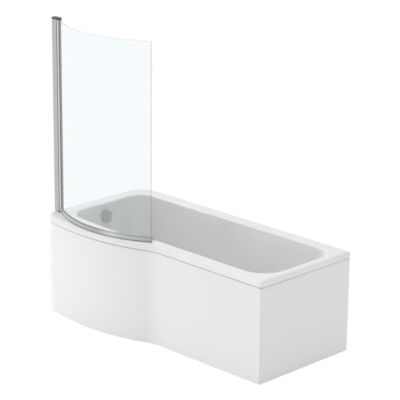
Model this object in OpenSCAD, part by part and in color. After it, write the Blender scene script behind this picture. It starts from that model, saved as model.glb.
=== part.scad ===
// P-shaped shower bath: acrylic basin on an adjustable leg frame, panelled front and end,
// pop-up waste worked by a turning overflow knob, and a bent glass screen on a hinge post.
// Origin: centre of the outer box at floor level. +X runs to the narrow end, +Y to the back
// wall, +Z up. The shower end stands against a wall at the low-X face.

/* [Bath] */
// Overall length, wall to outer end
bath_l = 1700; // [1660:5:1760]
// Overall width at the bulge
wide_w = 836; // [826:1:850]
// Overall width of the straight part
narrow_w = 730; // [720:1:740]
// Height of the rim above the floor
rim_h = 592; // [580:1:620]
// Height of the turned-down lip of the rim
lip_h = 36; // [32:1:44]
// Depth of the basin below the rim
basin_d = 412; // [395:1:420]
// Thickness of the reinforced acrylic
shell_t = 5; // [4:0.5:6]

/* [Plan curves] */
// Widest point of the bulge, from the shower end
bulge_x = 400; // [380:5:430]
// Radius of the bulge towards the narrow part
bulge_r = 1100; // [1000:20:1200]
// Radius of the bulge towards the shower end
shoulder_r = 1600; // [1500:20:1800]
// Radius of the hollow sweep into the straight front
sweep_r = 310; // [270:10:350]
// Corner radius at the back of the shower end
back_corner_r = 135; // [110:5:150]
// Corner radius at the front of the shower end
front_corner_r = 100; // [80:5:120]
// Corner radius at the narrow end
end_corner_r = 10; // [8:1:24]

/* [Basin] */
// Width of the rim at the shower end
rim_left = 95; // [85:1:105]
// Width of the rim at the narrow end
rim_right = 50; // [48:1:60]
// Width of the rim along the back
rim_back = 92; // [84:1:100]
// Width of the rim along the straight front
rim_front = 80; // [76:1:88]
// Slope of the lounging end: run of the wall from rim to floor
backrest_run = 290; // [240:5:320]
// Radius where the walls turn into the basin floor
floor_r = 70; // [55:1:80]

/* [Screen] */
// Height of the glass above the rim
screen_h = 1156; // [1000:1:1400]
// Glass thickness
glass_t = 6; // [5:0.5:8]
// Bending radius of the glass
glass_r = 700; // [680:5:760]
// Straight distance from the hinge to the free edge
screen_chord = 774; // [750:1:785]
// Depth of the wall channel
channel_d = 26; // [22:1:30]
// Width of the wall channel
channel_w = 28; // [26:1:32]

/* [Waste] */
// Distance of the waste from the shower end
waste_x = 300; // [290:1:330]
// Height of the overflow below the rim
overflow_drop = 80; // [74:1:95]
// Diameter of the overflow knob
knob_d = 74; // [66:1:78]
// Lift of the plug when open
plug_lift = 10; // [6:1:12]

/* [Hidden] */
$fn = 64;
e = 0.01;                       // overlap of a cutter past the face it cuts

// Colours, as seen
white_acrylic = "#f0f0ef";
raw_grp = "#d8d6cc";
zinc = "#b9bcc0";
timber = "#c9a777";
chrome = "#c8cacd";
satin = "#b4b6b8";
dark_plastic = "#4b4c4e";
black_rubber = "#2c2c2e";
grey_plastic = "#9a9da0";

// Outer box of the bath
x_wall = -bath_l / 2;           // wall face at the shower end
x_end = bath_l / 2;
y_back = wide_w / 2;            // wall face at the back
y_bulge = -wide_w / 2;
y_front = y_back - narrow_w;    // face of the straight front
bulge_cx = x_wall + bulge_x;

// A plan outline is [left, right, back, straight front, bulge, bulge x, bulge radius,
// shoulder radius, sweep radius, back-left r, back-right r, front-right r, front-left r]
outer_plan = [x_wall, x_end, y_back, y_front, y_bulge, bulge_cx, bulge_r, shoulder_r, sweep_r,
              back_corner_r, end_corner_r, end_corner_r, front_corner_r];
// Inner edge of the rim, and the basin's outline at floor level
rim_bulge = 131;                // width of the rim at the bulge
mouth_plan = [x_wall + rim_left, x_end - rim_right, y_back - rim_back, y_front + rim_front,
              y_bulge + rim_bulge, x_wall + 620, 350, 4500, 250, 100, 95, 140, 130];
wall_run = 60;                  // run of the steep walls from rim to floor
floor_plan = [mouth_plan[0] + wall_run, mouth_plan[1] - backrest_run, mouth_plan[2] - wall_run,
              mouth_plan[3] + wall_run - 8, mouth_plan[4] + wall_run, mouth_plan[5], 350, 4500,
              250, 150, 200, 200, 170];
floor_z = rim_h - basin_d;
under_z = floor_z - shell_t;    // underside of the basin floor
roll_in = 12;                   // radius of the rim's edge into the basin
roll_out = 15;                  // radius of the rim's outer edge
wall_h = basin_d - roll_in;
corner_steps = 12;
bow_steps = 9;

// Leg frame
board_t = 18;
board_x = [-490, 430];
board_y = [-125, 205];
board_z = under_z - board_t;
rail_w = 40;
rail_h = 30;
rail_t = 2.5;
rail_z = board_z - rail_h;
left_rail_x = -400;
right_rail_x = 340;
left_rail_y = [-330, 370];
right_rail_y = [-262, 370];
legs = [[left_rail_x, -290], [left_rail_x, 340], [right_rail_x, -225], [right_rail_x, 340],
        [-30, 40]];
stud_r = 5;
pad_h = 16;
pad_bore = 8;                   // depth of the socket in a foot pad
nut_h = 8;
nut_af = 17;                    // width across a nut's flats
screw_r = 2.4;
screw_l = 14;                   // depth of a screw in a board

// Panels
panel_gap = 3;                  // from the lip's face in to the panel's face
panel_t = 4;
panel_top = rim_h - lip_h - 3;  // a shadow gap under the lip
panel_in = panel_gap + panel_t;
panel_plan = [for (i = [0:12]) i == 10 || i == 11 ? panel_gap + 4 : outer_plan[i]];
return_t = 4;                   // thickness of the panels' turned-in edges
return_w = 6;
batten_z = rim_h - lip_h - 3;
batten_t = rim_h - shell_t - 0.3 - batten_z;
clip_x = [130, 430, 740];

// Waste and overflow
wx = x_wall + waste_x;
wy = 18;                        // centre line of the shower well
wall_tilt = atan(wall_run / wall_h);
overflow_z = rim_h - overflow_drop;
overflow_x = mouth_plan[0] + (overflow_drop - roll_in) * tan(wall_tilt);
waste_r = 26;
outlet_r = 23.9;                // 1 1/2 inch pipe thread, outside
outlet_z = under_z - 86;
inlet_z = board_z - 16;         // height of the overflow hose under the floor
cable_in_z = board_z - 20;      // height of the cable's boss on the waste body
cable_r = 2.5;
stem_r = 4;
spindle_r = 3;
knob_gap = 8.4;                 // from the wall to the back of the knob
knob_t = 12;
spout_z = -shell_t - 24;        // axis of the overflow's spout, behind the wall
run_fit = 0.05;                 // radial clearance of a turning or sliding fit

// Screen
post_z = rim_h + 0.3;
post_top = rim_h + screen_h;
cap_h = 12;
foot_h = 3;
pivot_x = x_wall + 48;
pivot_y = y_bulge + 139;        // centre of the post, over the rim's corner
pivot_r = 13.5;
pin_r = 4;
arc_h = sqrt(glass_r * glass_r - screen_chord * screen_chord / 4);
arc_x = pivot_x + screen_chord / 2;
arc_y = pivot_y + arc_h;
half_arc = asin(screen_chord / 2 / glass_r);
arc_0 = 270 - half_arc;
arc_1 = 270 + half_arc;
deg_per_mm = 180 / (PI * glass_r);
glass_z = rim_h + 11;
rail_bottom = rim_h + 3.5;
rail_top = rim_h + 28;
glass_rail_w = 14;

// ---- plan outlines -------------------------------------------------------------------------

function arc(cx, cy, r, a0, a1, n, first = 0) =
    [for (i = [first:n]) let (a = a0 + (a1 - a0) * i / n) [cx + r * cos(a), cy + r * sin(a)]];

// Outline p drawn in by k, as one counter-clockwise loop of arcs
function plan(p, k = 0) =
    let (left = p[0] + k, right = p[1] - k, back = p[2] - k, front = p[3] + k, bow = p[4] + k,
         r_bow = p[6] - k, r_sh = p[7] - k, r_sw = p[8] + k,
         r_bl = max(p[9] - k, 1), r_br = max(p[10] - k, 1),
         r_fr = max(p[11] - k, 1), r_fl = max(p[12] - k, 1),
         span = r_bow + r_sw, run = sqrt(span * span - pow(span - (front - bow), 2)),
         turn = asin(run / span), sh_y = bow + r_sh, fl_x = left + r_fl,
         fl_y = sh_y - sqrt(pow(r_sh - r_fl, 2) - pow(fl_x - p[5], 2)),
         fl_a = 360 + atan2(fl_y - sh_y, fl_x - p[5]))
    concat(
        arc(right - r_br, back - r_br, r_br, 0, 90, corner_steps),
        arc(left + r_bl, back - r_bl, r_bl, 90, 180, corner_steps),
        arc(fl_x, fl_y, r_fl, 180, fl_a, corner_steps),
        arc(p[5], sh_y, r_sh, fl_a, 270, bow_steps, 1),
        arc(p[5], bow + r_bow, r_bow, 270, 270 + turn, bow_steps, 1),
        arc(p[5] + run, front - r_sw, r_sw, 90 + turn, 90, bow_steps, 1),
        arc(right - r_fr, front + r_fr, r_fr, 270, 360, corner_steps));

function ring(p, k, z) = [for (q = plan(p, k)) [q[0], q[1], z]];

// The basin's outline at height z, from the mouth's under the rim to the floor's
function basin_at(z) = mouth_plan + (floor_plan - mouth_plan) * (rim_h - roll_in - z) / wall_h;
function basin_ring(k, z) = ring(basin_at(z), k, z);

// A closed skin through rings of equal length, capped by the first and the last
module skin(rings) {
    n = len(rings[0]);
    m = len(rings);
    polyhedron(
        points = [for (r = rings) each r],
        faces = concat(
            [[for (i = [n - 1:-1:0]) i]],
            [for (j = [0:m - 2], i = [0:n - 1], half = [0, 1])
                let (a = j * n + i, b = j * n + (i + 1) % n)
                half == 0 ? [a, b + n, a + n] : [a, b, b + n]],
            [[for (i = [0:n - 1]) (m - 1) * n + i]]),
        convexity = 8);
}

// Strip between two insets of the outer outline
module rim_strip(k0, k1, p = outer_plan) {
    difference() {
        polygon(plan(p, k0));
        polygon(plan(p, k1));
    }
}

// Tube swept along a list of points, its radius given for each
module swept(route, radii, sides) {
    m = len(route);
    rings = [for (j = [0:m - 1])
        let (d = route[min(j + 1, m - 1)] - route[max(j - 1, 0)],
             t = d / norm(d), s = cross(t, [0, 1, 0]), u = s / norm(s), v = cross(t, u))
        [for (i = [0:sides - 1])
            route[j] + radii[j] * (cos(360 * i / sides) * u + sin(360 * i / sides) * v)]];
    skin([for (j = [m - 1:-1:0]) rings[j]]);
}

module at_overflow() {
    translate([overflow_x, wy, overflow_z]) rotate([0, 90 - wall_tilt, 0]) children();
}

module at_waste() {
    translate([wx, wy, 0]) children();
}

// Ring sector concentric with the glass, radii r0 to r1, angles a0 to a1, heights z0 to z1
module bent(r0, r1, a0, a1, z0, z1) {
    translate([arc_x, arc_y, 0]) rotate_extrude(angle = a1 - a0, start = a0, $fn = 360)
        translate([r0, z0]) square([r1 - r0, z1 - z0]);
}

module tube(r_out, r_in, h) {
    difference() {
        cylinder(r = r_out, h = h);
        translate([0, 0, -e]) cylinder(r = r_in, h = h + 2 * e);
    }
}

// ---- the bath ------------------------------------------------------------------------------

module bath_shell() {
    t = shell_t;
    quarter = [0:22.5:90];
    inner = concat(
        [for (a = [90:-15:0])
            basin_ring(floor_r * (1 - cos(a)), floor_z + floor_r * (1 - sin(a)))],
        [for (f = [0.3, 0.65]) basin_ring(0, floor_z + floor_r + f * (basin_d - floor_r - roll_in))],
        [for (a = [90:-22.5:0])
            ring(mouth_plan, -roll_in * (1 - sin(a)), rim_h - roll_in * (1 - cos(a)))]);
    lip = concat(
        [for (a = quarter)
            ring(outer_plan, roll_out * (1 - sin(a)), rim_h - roll_out * (1 - cos(a)))],
        [ring(outer_plan, 0, rim_h - lip_h), ring(outer_plan, t, rim_h - lip_h)],
        [for (a = [90:-22.5:0])
            ring(outer_plan, roll_out - (roll_out - t) * sin(a),
                 rim_h - roll_out + (roll_out - t) * cos(a))]);
    under = concat(
        [for (a = quarter)
            ring(mouth_plan, -roll_in + (roll_in - t) * sin(a),
                 rim_h - roll_in + (roll_in - t) * cos(a))],
        [for (f = [0.65, 0.3]) basin_ring(-t, floor_z + floor_r + f * (basin_d - floor_r - roll_in))],
        [for (a = [0:15:90])
            basin_ring(floor_r - (floor_r + t) * cos(a), floor_z + floor_r - (floor_r + t) * sin(a))]);
    color(white_acrylic) difference() {
        skin(concat(inner, lip, under));
        at_waste() translate([0, 0, under_z - 5]) cylinder(r = waste_r, h = shell_t + 10);
        at_overflow() translate([0, 0, -20]) cylinder(r = 24, h = 40);
    }
}

// Places of the screws that hold the rails and the centre plate to the board
rail_screw_at = [for (x = [left_rail_x, right_rail_x], sx = [-10, 10],
                      y = [board_y[0] + 40, board_y[1] - 40]) [x + sx, y]];
plate_screw_at = [for (a = [45:90:315]) [legs[4][0] + 50 * cos(a), legs[4][1] + 50 * sin(a)]];
bracket_xs = [-500, 500];
bracket_screw_y = y_back - 36;

module base_board() {
    color(raw_grp) difference() {
        translate([board_x[0], board_y[0], board_z])
            cube([board_x[1] - board_x[0], board_y[1] - board_y[0], board_t]);
        for (p = concat(rail_screw_at, plate_screw_at)) translate([p[0], p[1], board_z - e])
            cylinder(r = screw_r, h = screw_l + e);
    }
}

module back_rim_batten() {
    color(raw_grp) difference() {
        translate([x_wall + 160, y_back - roll_out - 45, batten_z])
            cube([bath_l - 260, 45, batten_t]);
        for (x = bracket_xs) translate([x, bracket_screw_y, batten_z - e])
            cylinder(r = screw_r, h = screw_l + e);
    }
}

module front_rim_batten() {
    color(raw_grp) translate([0, 0, batten_z]) linear_extrude(batten_t) intersection() {
        rim_strip(24, 50);
        translate([x_wall + 125, y_bulge]) square([bath_l - 195, y_front + 64 - y_bulge]);
    }
}

// Inverted channel across the bath, bored for its legs
module leg_rail(x, y, leg_y) {
    difference() {
        translate([x - rail_w / 2, y[0], rail_z]) cube([rail_w, y[1] - y[0], rail_h]);
        translate([x - rail_w / 2 + rail_t, y[0] - e, rail_z - e])
            cube([rail_w - 2 * rail_t, y[1] - y[0] + 2 * e, rail_h - rail_t + e]);
        for (ly = leg_y) translate([x, ly, rail_z]) cylinder(r = stud_r + 0.4, h = rail_h + 1);
        for (p = rail_screw_at) translate([p[0], p[1], rail_z])
            cylinder(r = screw_r + 0.2, h = rail_h + 1);
    }
}

module leg_rail_left() {
    color(zinc) leg_rail(left_rail_x, left_rail_y, [legs[0][1], legs[1][1]]);
}

module leg_rail_right() {
    color(zinc) leg_rail(right_rail_x, right_rail_y, [legs[2][1], legs[3][1]]);
}

module centre_leg_plate() {
    color(zinc) translate([legs[4][0], legs[4][1], board_z - rail_t]) difference() {
        translate([-45, -45, 0]) cube([90, 90, rail_t]);
        translate([0, 0, -e]) cylinder(r = stud_r + 0.4, h = rail_t + 2 * e);
        for (a = [45:90:315]) rotate(a) translate([50, 0, -e])
            cylinder(r = screw_r + 0.2, h = rail_t + 2 * e);
    }
}

// Top of each threaded leg: through a rail's web, or flush under the board
function leg_top(i) = i < 4 ? board_z + nut_h + 6 : board_z - 0.3;
function web_z(i) = board_z - rail_t;

module leg_studs() {
    color(zinc) for (i = [0:4])
        translate([legs[i][0], legs[i][1], pad_h - pad_bore])
            cylinder(r = stud_r, h = leg_top(i) - pad_h + pad_bore);
}

module nut(z) {
    translate([0, 0, z]) difference() {
        cylinder(r = nut_af / sqrt(3), h = nut_h, $fn = 6);
        translate([0, 0, -e]) cylinder(r = stud_r, h = nut_h + 2 * e);
    }
}

module leg_nuts() {
    color(zinc) for (i = [0:4]) translate([legs[i][0], legs[i][1], 0]) {
        nut(pad_h + 6);
        nut(web_z(i) - nut_h);
        if (i < 4) nut(board_z);
    }
}

module foot_pads() {
    color(dark_plastic) for (leg = legs) translate([leg[0], leg[1], 0]) rotate_extrude()
        polygon([[0, 0], [25, 0], [25, 4], [12, 9], [12, pad_h], [stud_r, pad_h],
                 [stud_r, pad_h - pad_bore], [0, pad_h - pad_bore]]);
}

// Pan-headed screw driven upwards, its head's bearing face at the origin
module screw_up(length) {
    translate([0, 0, -3]) cylinder(r = 4.5, h = 3);
    cylinder(r = screw_r, h = length);
}

module rail_screws() {
    color(zinc) for (p = concat(rail_screw_at, plate_screw_at))
        translate([p[0], p[1], board_z - rail_t]) screw_up(rail_t + screw_l);
}

// Angle brackets on the back wall that the rim's batten rests on
module wall_brackets() {
    top = batten_z;
    color(zinc) for (x = bracket_xs) difference() {
        union() {
            translate([x - 20, y_back - 2.5, top - 58]) cube([40, 2.5, 58]);
            translate([x - 20, y_back - 50, top - 2.5]) cube([40, 50, 2.5]);
        }
        translate([x, y_back + e, top - 32]) rotate([90, 0, 0]) cylinder(r = 3, h = 3);
        translate([x, bracket_screw_y, top - 3]) cylinder(r = screw_r + 0.2, h = 4);
    }
}

module bracket_screws() {
    color(zinc) for (x = bracket_xs)
        translate([x, bracket_screw_y, batten_z - 2.5]) screw_up(2.5 + screw_l);
}

// ---- panels --------------------------------------------------------------------------------

// Region of the plan that the front panel covers: the corner at the wall, the bulge, the
// sweep and the straight front
module front_region(inset) {
    translate([x_wall - 1, y_bulge - 1]) square([260, 209]);
    translate([x_wall + 250, y_bulge - 1])
        square([bath_l - 250 - inset, y_front + panel_in + return_w + 1 - y_bulge]);
}

module front_panel() {
    color(white_acrylic) {
        linear_extrude(panel_top) intersection() {
            rim_strip(panel_gap, panel_in, panel_plan);
            union() {
                front_region(panel_gap + 8);
                translate([x_end - panel_gap - 9, y_front]) square([9, panel_in]);
            }
        }
        linear_extrude(return_t) intersection() {
            rim_strip(panel_in - e, panel_in + return_w, panel_plan);
            front_region(panel_in + return_w + 6);
        }
    }
}

module end_panel() {
    y0 = y_front + panel_in + 0.4;
    depth = y_back - 4 - y0;
    x = x_end - panel_gap;
    color(white_acrylic) {
        translate([x - panel_t, y0, 0]) cube([panel_t, depth, panel_top]);
        translate([x - panel_t - return_w, y0 + 8, 0]) cube([return_w, depth - 8, return_t]);
        translate([x - panel_t - 12, y0 + depth - return_t, return_t])
            cube([12, return_t, panel_top - return_t]);
    }
}

// Spring clip: a foot under the rim's batten and a tongue sprung against the panel
module clip() {
    translate([-15, 0, 0]) cube([30, 2, 22]);
    translate([-15, 2, 20]) cube([30, 24, 2]);
    translate([-15, 24, 8]) cube([30, 2, 12]);
}

module panel_clips() {
    clip_z = batten_z - 22;
    color(grey_plastic) {
        for (x = clip_x) translate([x, y_front + panel_in + 0.3, clip_z]) clip();
        for (q = [[-7, shoulder_r], [6, bulge_r]])
            translate([bulge_cx, y_bulge + q[1], clip_z]) rotate(q[0])
                translate([0, panel_in + 0.5 - q[1], 0]) clip();
    }
}

module front_floor_batten() {
    color(timber) linear_extrude(34) intersection() {
        rim_strip(panel_in + return_w + 0.4, 46);
        translate([x_wall + 125, y_bulge]) square([bath_l - 175, y_front + 48 - y_bulge]);
    }
}

module end_floor_batten() {
    color(timber) translate([x_end - 46, y_front + 70, 0])
        cube([46 - panel_in - return_w - 0.4, narrow_w - 110, 34]);
}

// ---- waste and overflow --------------------------------------------------------------------

module waste_flange() {
    color(chrome) at_waste() {
        translate([0, 0, floor_z + 1.5]) rotate_extrude()
            polygon([[20, 0], [35, 0], [35, 1], [31, 3], [24, 3], [21, 1.6], [20, 1.6]]);
        translate([0, 0, under_z - 22]) tube(24.5, 20, 22 + shell_t + 2);
        // Three arms and a bush that guide the plug's stem
        translate([0, 0, under_z - 6]) difference() {
            union() {
                cylinder(r = 7, h = 8);
                for (a = [30:120:270]) rotate(a) translate([5, -1.5, 0]) cube([16, 3, 4]);
            }
            translate([0, 0, -e]) cylinder(r = stem_r + run_fit, h = 8 + 2 * e);
        }
    }
}

module waste_seals() {
    color(black_rubber) at_waste() {
        translate([0, 0, floor_z]) tube(33, 24.6, 1.5);
        translate([0, 0, under_z - 3]) tube(38, 26.5, 3);
    }
}

module waste_body() {
    top = under_z - 3;
    color(dark_plastic) at_waste() difference() {
        union() {
            translate([0, 0, top - 6]) cylinder(r = 40, h = 6);
            translate([0, 0, top - 50]) cylinder(r = 29, h = 46);
            translate([0, 0, outlet_z]) cylinder(r = outlet_r, h = top - outlet_z - 49);
            translate([0, 0, inlet_z]) rotate([0, -90, 0]) cylinder(r = 15, h = 58);
            translate([0, 0, cable_in_z]) rotate([0, 90, 150]) cylinder(r = 5.5, h = 42);
        }
        translate([0, 0, cable_in_z]) rotate([0, 90, 150]) cylinder(r = cable_r + 0.3, h = 43);
        translate([0, 0, top - 45]) cylinder(r = 24.6, h = 46);
        translate([0, 0, outlet_z - e]) cylinder(r = 20, h = 60);
        translate([-20, 0, inlet_z]) rotate([0, -90, 0]) cylinder(r = 11, h = 39);
    }
}

module waste_plug() {
    color(chrome) at_waste() translate([0, 0, floor_z + 6.2]) rotate_extrude()
        polygon(concat([[0, 0], [26, 0], [29, 1], [30, 2.5], [29, 3.6]],
                       [for (i = [6:-1:0]) let (r = 28 * i / 6) [r, 3.6 + 4.4 * (1 - pow(i / 6, 2))]]));
}

module plug_stem() {
    color(chrome) at_waste() translate([0, 0, under_z - 48]) {
        cylinder(r = stem_r, h = floor_z + 6.2 - under_z + 48);
        cylinder(r = 7, h = 3);
    }
}

module plug_seal() {
    color(black_rubber) at_waste() translate([0, 0, floor_z + 4.8]) tube(25, 17, 1.4);
}

module overflow_body() {
    back = -shell_t - 43;
    color(dark_plastic) at_overflow() {
        difference() {
            translate([0, 0, back]) cylinder(r = 33, h = 40);
            translate([0, 0, back + 4]) cylinder(r = 28, h = 40);
            translate([20, 0, spout_z]) rotate([0, 90, 0]) cylinder(r = 11, h = 40);
            translate([0, 0, back - 1]) cylinder(r = spindle_r + 0.6, h = 6);
        }
        translate([30, 0, spout_z]) rotate([0, 90, 0]) tube(15, 11, 22);
    }
}

module overflow_seal() {
    color(black_rubber) at_overflow() translate([0, 0, -shell_t - 3]) tube(32, 25, 2.6);
}

module overflow_plate() {
    color(chrome) at_overflow() difference() {
        union() {
            translate([0, 0, 0.6]) cylinder(r = 31, h = 2.4);
            translate([0, 0, -20]) cylinder(r = 23.5, h = 23);
            cylinder(r = 8, h = knob_gap - 0.4);
        }
        translate([0, 0, -21]) cylinder(r = 20, h = 21.6);
        for (a = [0:60:300]) rotate(a) translate([15, 0, -1]) cylinder(r = 4, h = 5);
        translate([0, 0, -1]) cylinder(r = spindle_r + run_fit, h = knob_gap + 2);
    }
}

// Domed disc with a shallow dished face and a fine grip edge
module overflow_knob() {
    r = knob_d / 2;
    color(chrome) at_overflow() translate([0, 0, knob_gap]) difference() {
        rotate_extrude($fn = 96)
            polygon([[0, 0], [r - 3, 0], [r, 2.5], [r, knob_t - 3], [r - 1, knob_t - 1],
                     [r - 3, knob_t], [r - 9, knob_t - 0.6], [0, knob_t - 1.6]]);
        for (a = [0:30:330]) rotate(a) translate([r + 1.2, 0, -e])
            cylinder(r = 2, h = knob_t - 3, $fn = 24);
        translate([0, 0, -e]) cylinder(r = spindle_r, h = 6);
    }
}

module knob_spindle() {
    back = -shell_t - 50;
    color(chrome) at_overflow() translate([0, 0, back])
        cylinder(r = spindle_r, h = knob_gap + 6 - e - back);
}

// Overflow hose: down behind the shower end, then forward under the basin to the waste
spout = [overflow_x + spout_z * cos(wall_tilt) + 52 * sin(wall_tilt),
         overflow_z + spout_z * sin(wall_tilt) - 52 * cos(wall_tilt)];
hose_end_x = wx - 60;
bend_r = 70;
down_dir = [sin(wall_tilt), -cos(wall_tilt)];
drop_len = (spout[1] - inlet_z - bend_r * (1 - sin(wall_tilt))) / cos(wall_tilt);
bend_start = spout + drop_len * down_dir;
bend_c = bend_start + bend_r * [cos(wall_tilt), sin(wall_tilt)];
function hose_path(s) =
    let (turn_len = bend_r * (90 - wall_tilt) * PI / 180)
    s < drop_len ? spout + s * down_dir
    : s < drop_len + turn_len
        ? let (a = 180 + wall_tilt + (s - drop_len) / bend_r * 180 / PI)
          bend_c + bend_r * [cos(a), sin(a)]
    : [bend_c[0] + s - drop_len - turn_len, bend_c[1] - bend_r];
hose_len = drop_len + bend_r * (90 - wall_tilt) * PI / 180 + hose_end_x - bend_c[0];
ribs = 40;

module overflow_hose() {
    steps = ribs * 2;
    route = [for (i = [0:steps]) let (p = hose_path(hose_len * i / steps)) [p[0], wy, p[1]]];
    wide = [for (i = [0:steps]) i < 3 || i > steps - 3 ? 12.5 : i % 2 == 0 ? 13.5 : 11.5];
    bore = [for (i = [0:steps]) 9.5];
    color(grey_plastic) difference() {
        swept(route, wide, 10);
        swept(concat([route[0] + [0, 0, 4]], route, [route[steps] + [4, 0, 0]]),
              concat([9.5], bore, [9.5]), 8);
    }
}

module hose_nuts() {
    color(dark_plastic) {
        translate([spout[0], wy, spout[1]]) rotate([0, 180 - wall_tilt, 0]) translate([0, 0, -16])
            tube(19, 15.2, 14);
        translate([hose_end_x + 2, wy, inlet_z]) rotate([0, 90, 0]) tube(19, 15.2, 14);
    }
}

// Bowden cable beside the hose, from behind the knob's spindle into the waste body's boss
module control_cable() {
    side = 34;
    x = overflow_x - (shell_t + 55) * cos(wall_tilt);
    end = 30;
    in_dir = [cos(150), sin(150), 0];
    route = [[x + 1, wy, overflow_z - 10], [x - 4, wy + 5, overflow_z - 42],
             [x - 4, wy + 18, overflow_z - 84], [x, wy + side, overflow_z - 132],
             [x + 8, wy + side + 4, overflow_z - 190], [x + 18, wy + side + 6, overflow_z - 250],
             [x + 33, wy + side + 7, overflow_z - 304], [x + 55, wy + side + 8, overflow_z - 345],
             [x + 86, wy + side + 8, overflow_z - 369], [x + 121, wy + side + 6, cable_in_z + 0.6],
             [wx, wy, cable_in_z] + 66 * in_dir, [wx, wy, cable_in_z] + 48 * in_dir,
             [wx, wy, cable_in_z] + end * in_dir];
    color(black_rubber) swept(route, [for (p = route) cable_r], 8);
}

// ---- screen --------------------------------------------------------------------------------

module wall_channel() {
    w = channel_w;
    color(satin) difference() {
        translate([x_wall, pivot_y - w / 2, post_z]) cube([channel_d, w, post_top - post_z]);
        translate([x_wall + 2.2, pivot_y - w / 2 + 2, post_z - 1])
            cube([channel_d, w - 4, post_top - post_z + 2]);
        for (z = channel_holes) translate([x_wall - 1, pivot_y, z]) rotate([0, 90, 0])
            cylinder(r = 3, h = 5);
        for (z = post_screw_z) translate([x_wall + 15, pivot_y, z]) rotate([-90, 0, 0])
            cylinder(r = screw_r, h = w);
    }
}

channel_holes = [for (i = [0:3]) rim_h + 85 + i * (screen_h - 166) / 3];
post_screw_z = [rim_h + 80, rim_h + 540, rim_h + 1000];

module hinge_post() {
    w = channel_w;
    color(satin) difference() {
        translate([0, 0, post_z + foot_h]) linear_extrude(post_top - post_z - foot_h) difference() {
            union() {
                translate([x_wall + 12, pivot_y - w / 2 + 2.3]) square([16, w - 4.6]);
                translate([x_wall + channel_d + 0.5, pivot_y - w / 2]) square([11, w]);
            }
            translate([x_wall + 14, pivot_y - w / 2 + 4.3]) square([14, w - 8.6]);
            translate([pivot_x, pivot_y]) circle(r = pivot_r + 0.6);
        }
        for (z = post_screw_z) translate([x_wall + 15, pivot_y, z]) rotate([-90, 0, 0])
            cylinder(r = screw_r, h = w);
    }
}

module post_screws() {
    color(zinc) for (z = post_screw_z)
        translate([x_wall + 15, pivot_y + channel_w / 2, z]) rotate([90, 0, 0]) screw_up(5);
}

// Rounded outline that closes the post and carries the pins
module post_outline(grow) {
    w = channel_w + 2 * grow;
    translate([x_wall, pivot_y - w / 2]) square([48, w]);
    translate([pivot_x, pivot_y]) circle(r = w / 2);
}

module post_cap() {
    color(dark_plastic) translate([0, 0, post_top]) difference() {
        linear_extrude(cap_h) post_outline(1);
        translate([pivot_x, pivot_y, -e]) cylinder(r = pin_r, h = 8);
    }
}

// Foot plate under the post and the tube, with the lower pin's socket
module post_foot() {
    w = channel_w;
    color(dark_plastic) difference() {
        translate([0, 0, post_z]) linear_extrude(foot_h) {
            translate([x_wall + channel_d + 0.5, pivot_y - w / 2]) square([48 - channel_d - 0.5, w]);
            translate([pivot_x, pivot_y]) circle(r = w / 2);
        }
        translate([pivot_x, pivot_y, post_z - e]) cylinder(r = pin_r, h = foot_h + 2 * e);
    }
}

module pivot_pins() {
    color(zinc) {
        translate([pivot_x, pivot_y, post_z + 0.2]) cylinder(r = pin_r, h = 20);
        translate([pivot_x, pivot_y, post_top - 18]) cylinder(r = pin_r, h = 25.9);
    }
}

module pivot_tube() {
    z0 = post_z + foot_h + 0.4;
    z1 = post_top - 0.4;
    color(satin) difference() {
        translate([pivot_x, pivot_y, z0]) cylinder(r = pivot_r, h = z1 - z0);
        for (z = [z0 - e, z1 - 19 + e]) translate([pivot_x, pivot_y, z])
            cylinder(r = pin_r + run_fit, h = 19);
        bent(glass_r - glass_t / 2 - 1, glass_r + glass_t / 2 + 1,
             arc_0 + 5.6 * deg_per_mm, arc_0 + 20 * deg_per_mm, z0 - 1, z1 + 1);
    }
}

module glass_panel() {
    color("#dfeef0", 0.35)
        bent(glass_r - glass_t / 2, glass_r + glass_t / 2, arc_0 + 6.6 * deg_per_mm, arc_1,
             glass_z, post_top - 1);
}

// Sleeve on the glass in the tube's slot, and a bead on each side of it along the rail
module glazing_gasket() {
    bead = [[0, 0], [2.4, 0], [1.5, 1.8], [0, 2.6]];
    color(black_rubber) {
        difference() {
            bent(glass_r - glass_t / 2 - 0.95, glass_r + glass_t / 2 + 0.95,
                 arc_0 + 5.7 * deg_per_mm, arc_0 + 13 * deg_per_mm, glass_z, post_top - 1);
            bent(glass_r - glass_t / 2, glass_r + glass_t / 2,
                 arc_0 + 6.6 * deg_per_mm, arc_0 + 14 * deg_per_mm, glass_z - 1, post_top);
        }
        for (side = [-1, 1]) translate([arc_x, arc_y, 0])
            rotate_extrude(angle = arc_1 - arc_0 - 24 * deg_per_mm, start = arc_0 + 24 * deg_per_mm,
                           $fn = 360)
                translate([glass_r + side * glass_t / 2, rail_top])
                    polygon([for (q = bead) [side * q[0], q[1]]]);
    }
}

// Channel that the glass stands in, with a lower groove for the seal
module bottom_rail() {
    w = glass_rail_w;
    h = rail_top - rail_bottom;
    section = [[-w / 2, 1.5], [-w / 2 + 1.5, 0], [-2.4, 0], [-2.4, 3], [2.4, 3], [2.4, 0],
               [w / 2 - 1.5, 0], [w / 2, 1.5], [w / 2, h - 5], [glass_t / 2 + 1.2, h],
               [glass_t / 2, h], [glass_t / 2, glass_z - rail_bottom],
               [-glass_t / 2, glass_z - rail_bottom], [-glass_t / 2, h],
               [-glass_t / 2 - 1.2, h], [-w / 2, h - 5]];
    color(satin) translate([arc_x, arc_y, 0])
        rotate_extrude(angle = arc_1 - arc_0 - 24 * deg_per_mm, start = arc_0 + 24 * deg_per_mm,
                       $fn = 360)
            translate([glass_r, rail_bottom]) polygon(section);
}

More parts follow.
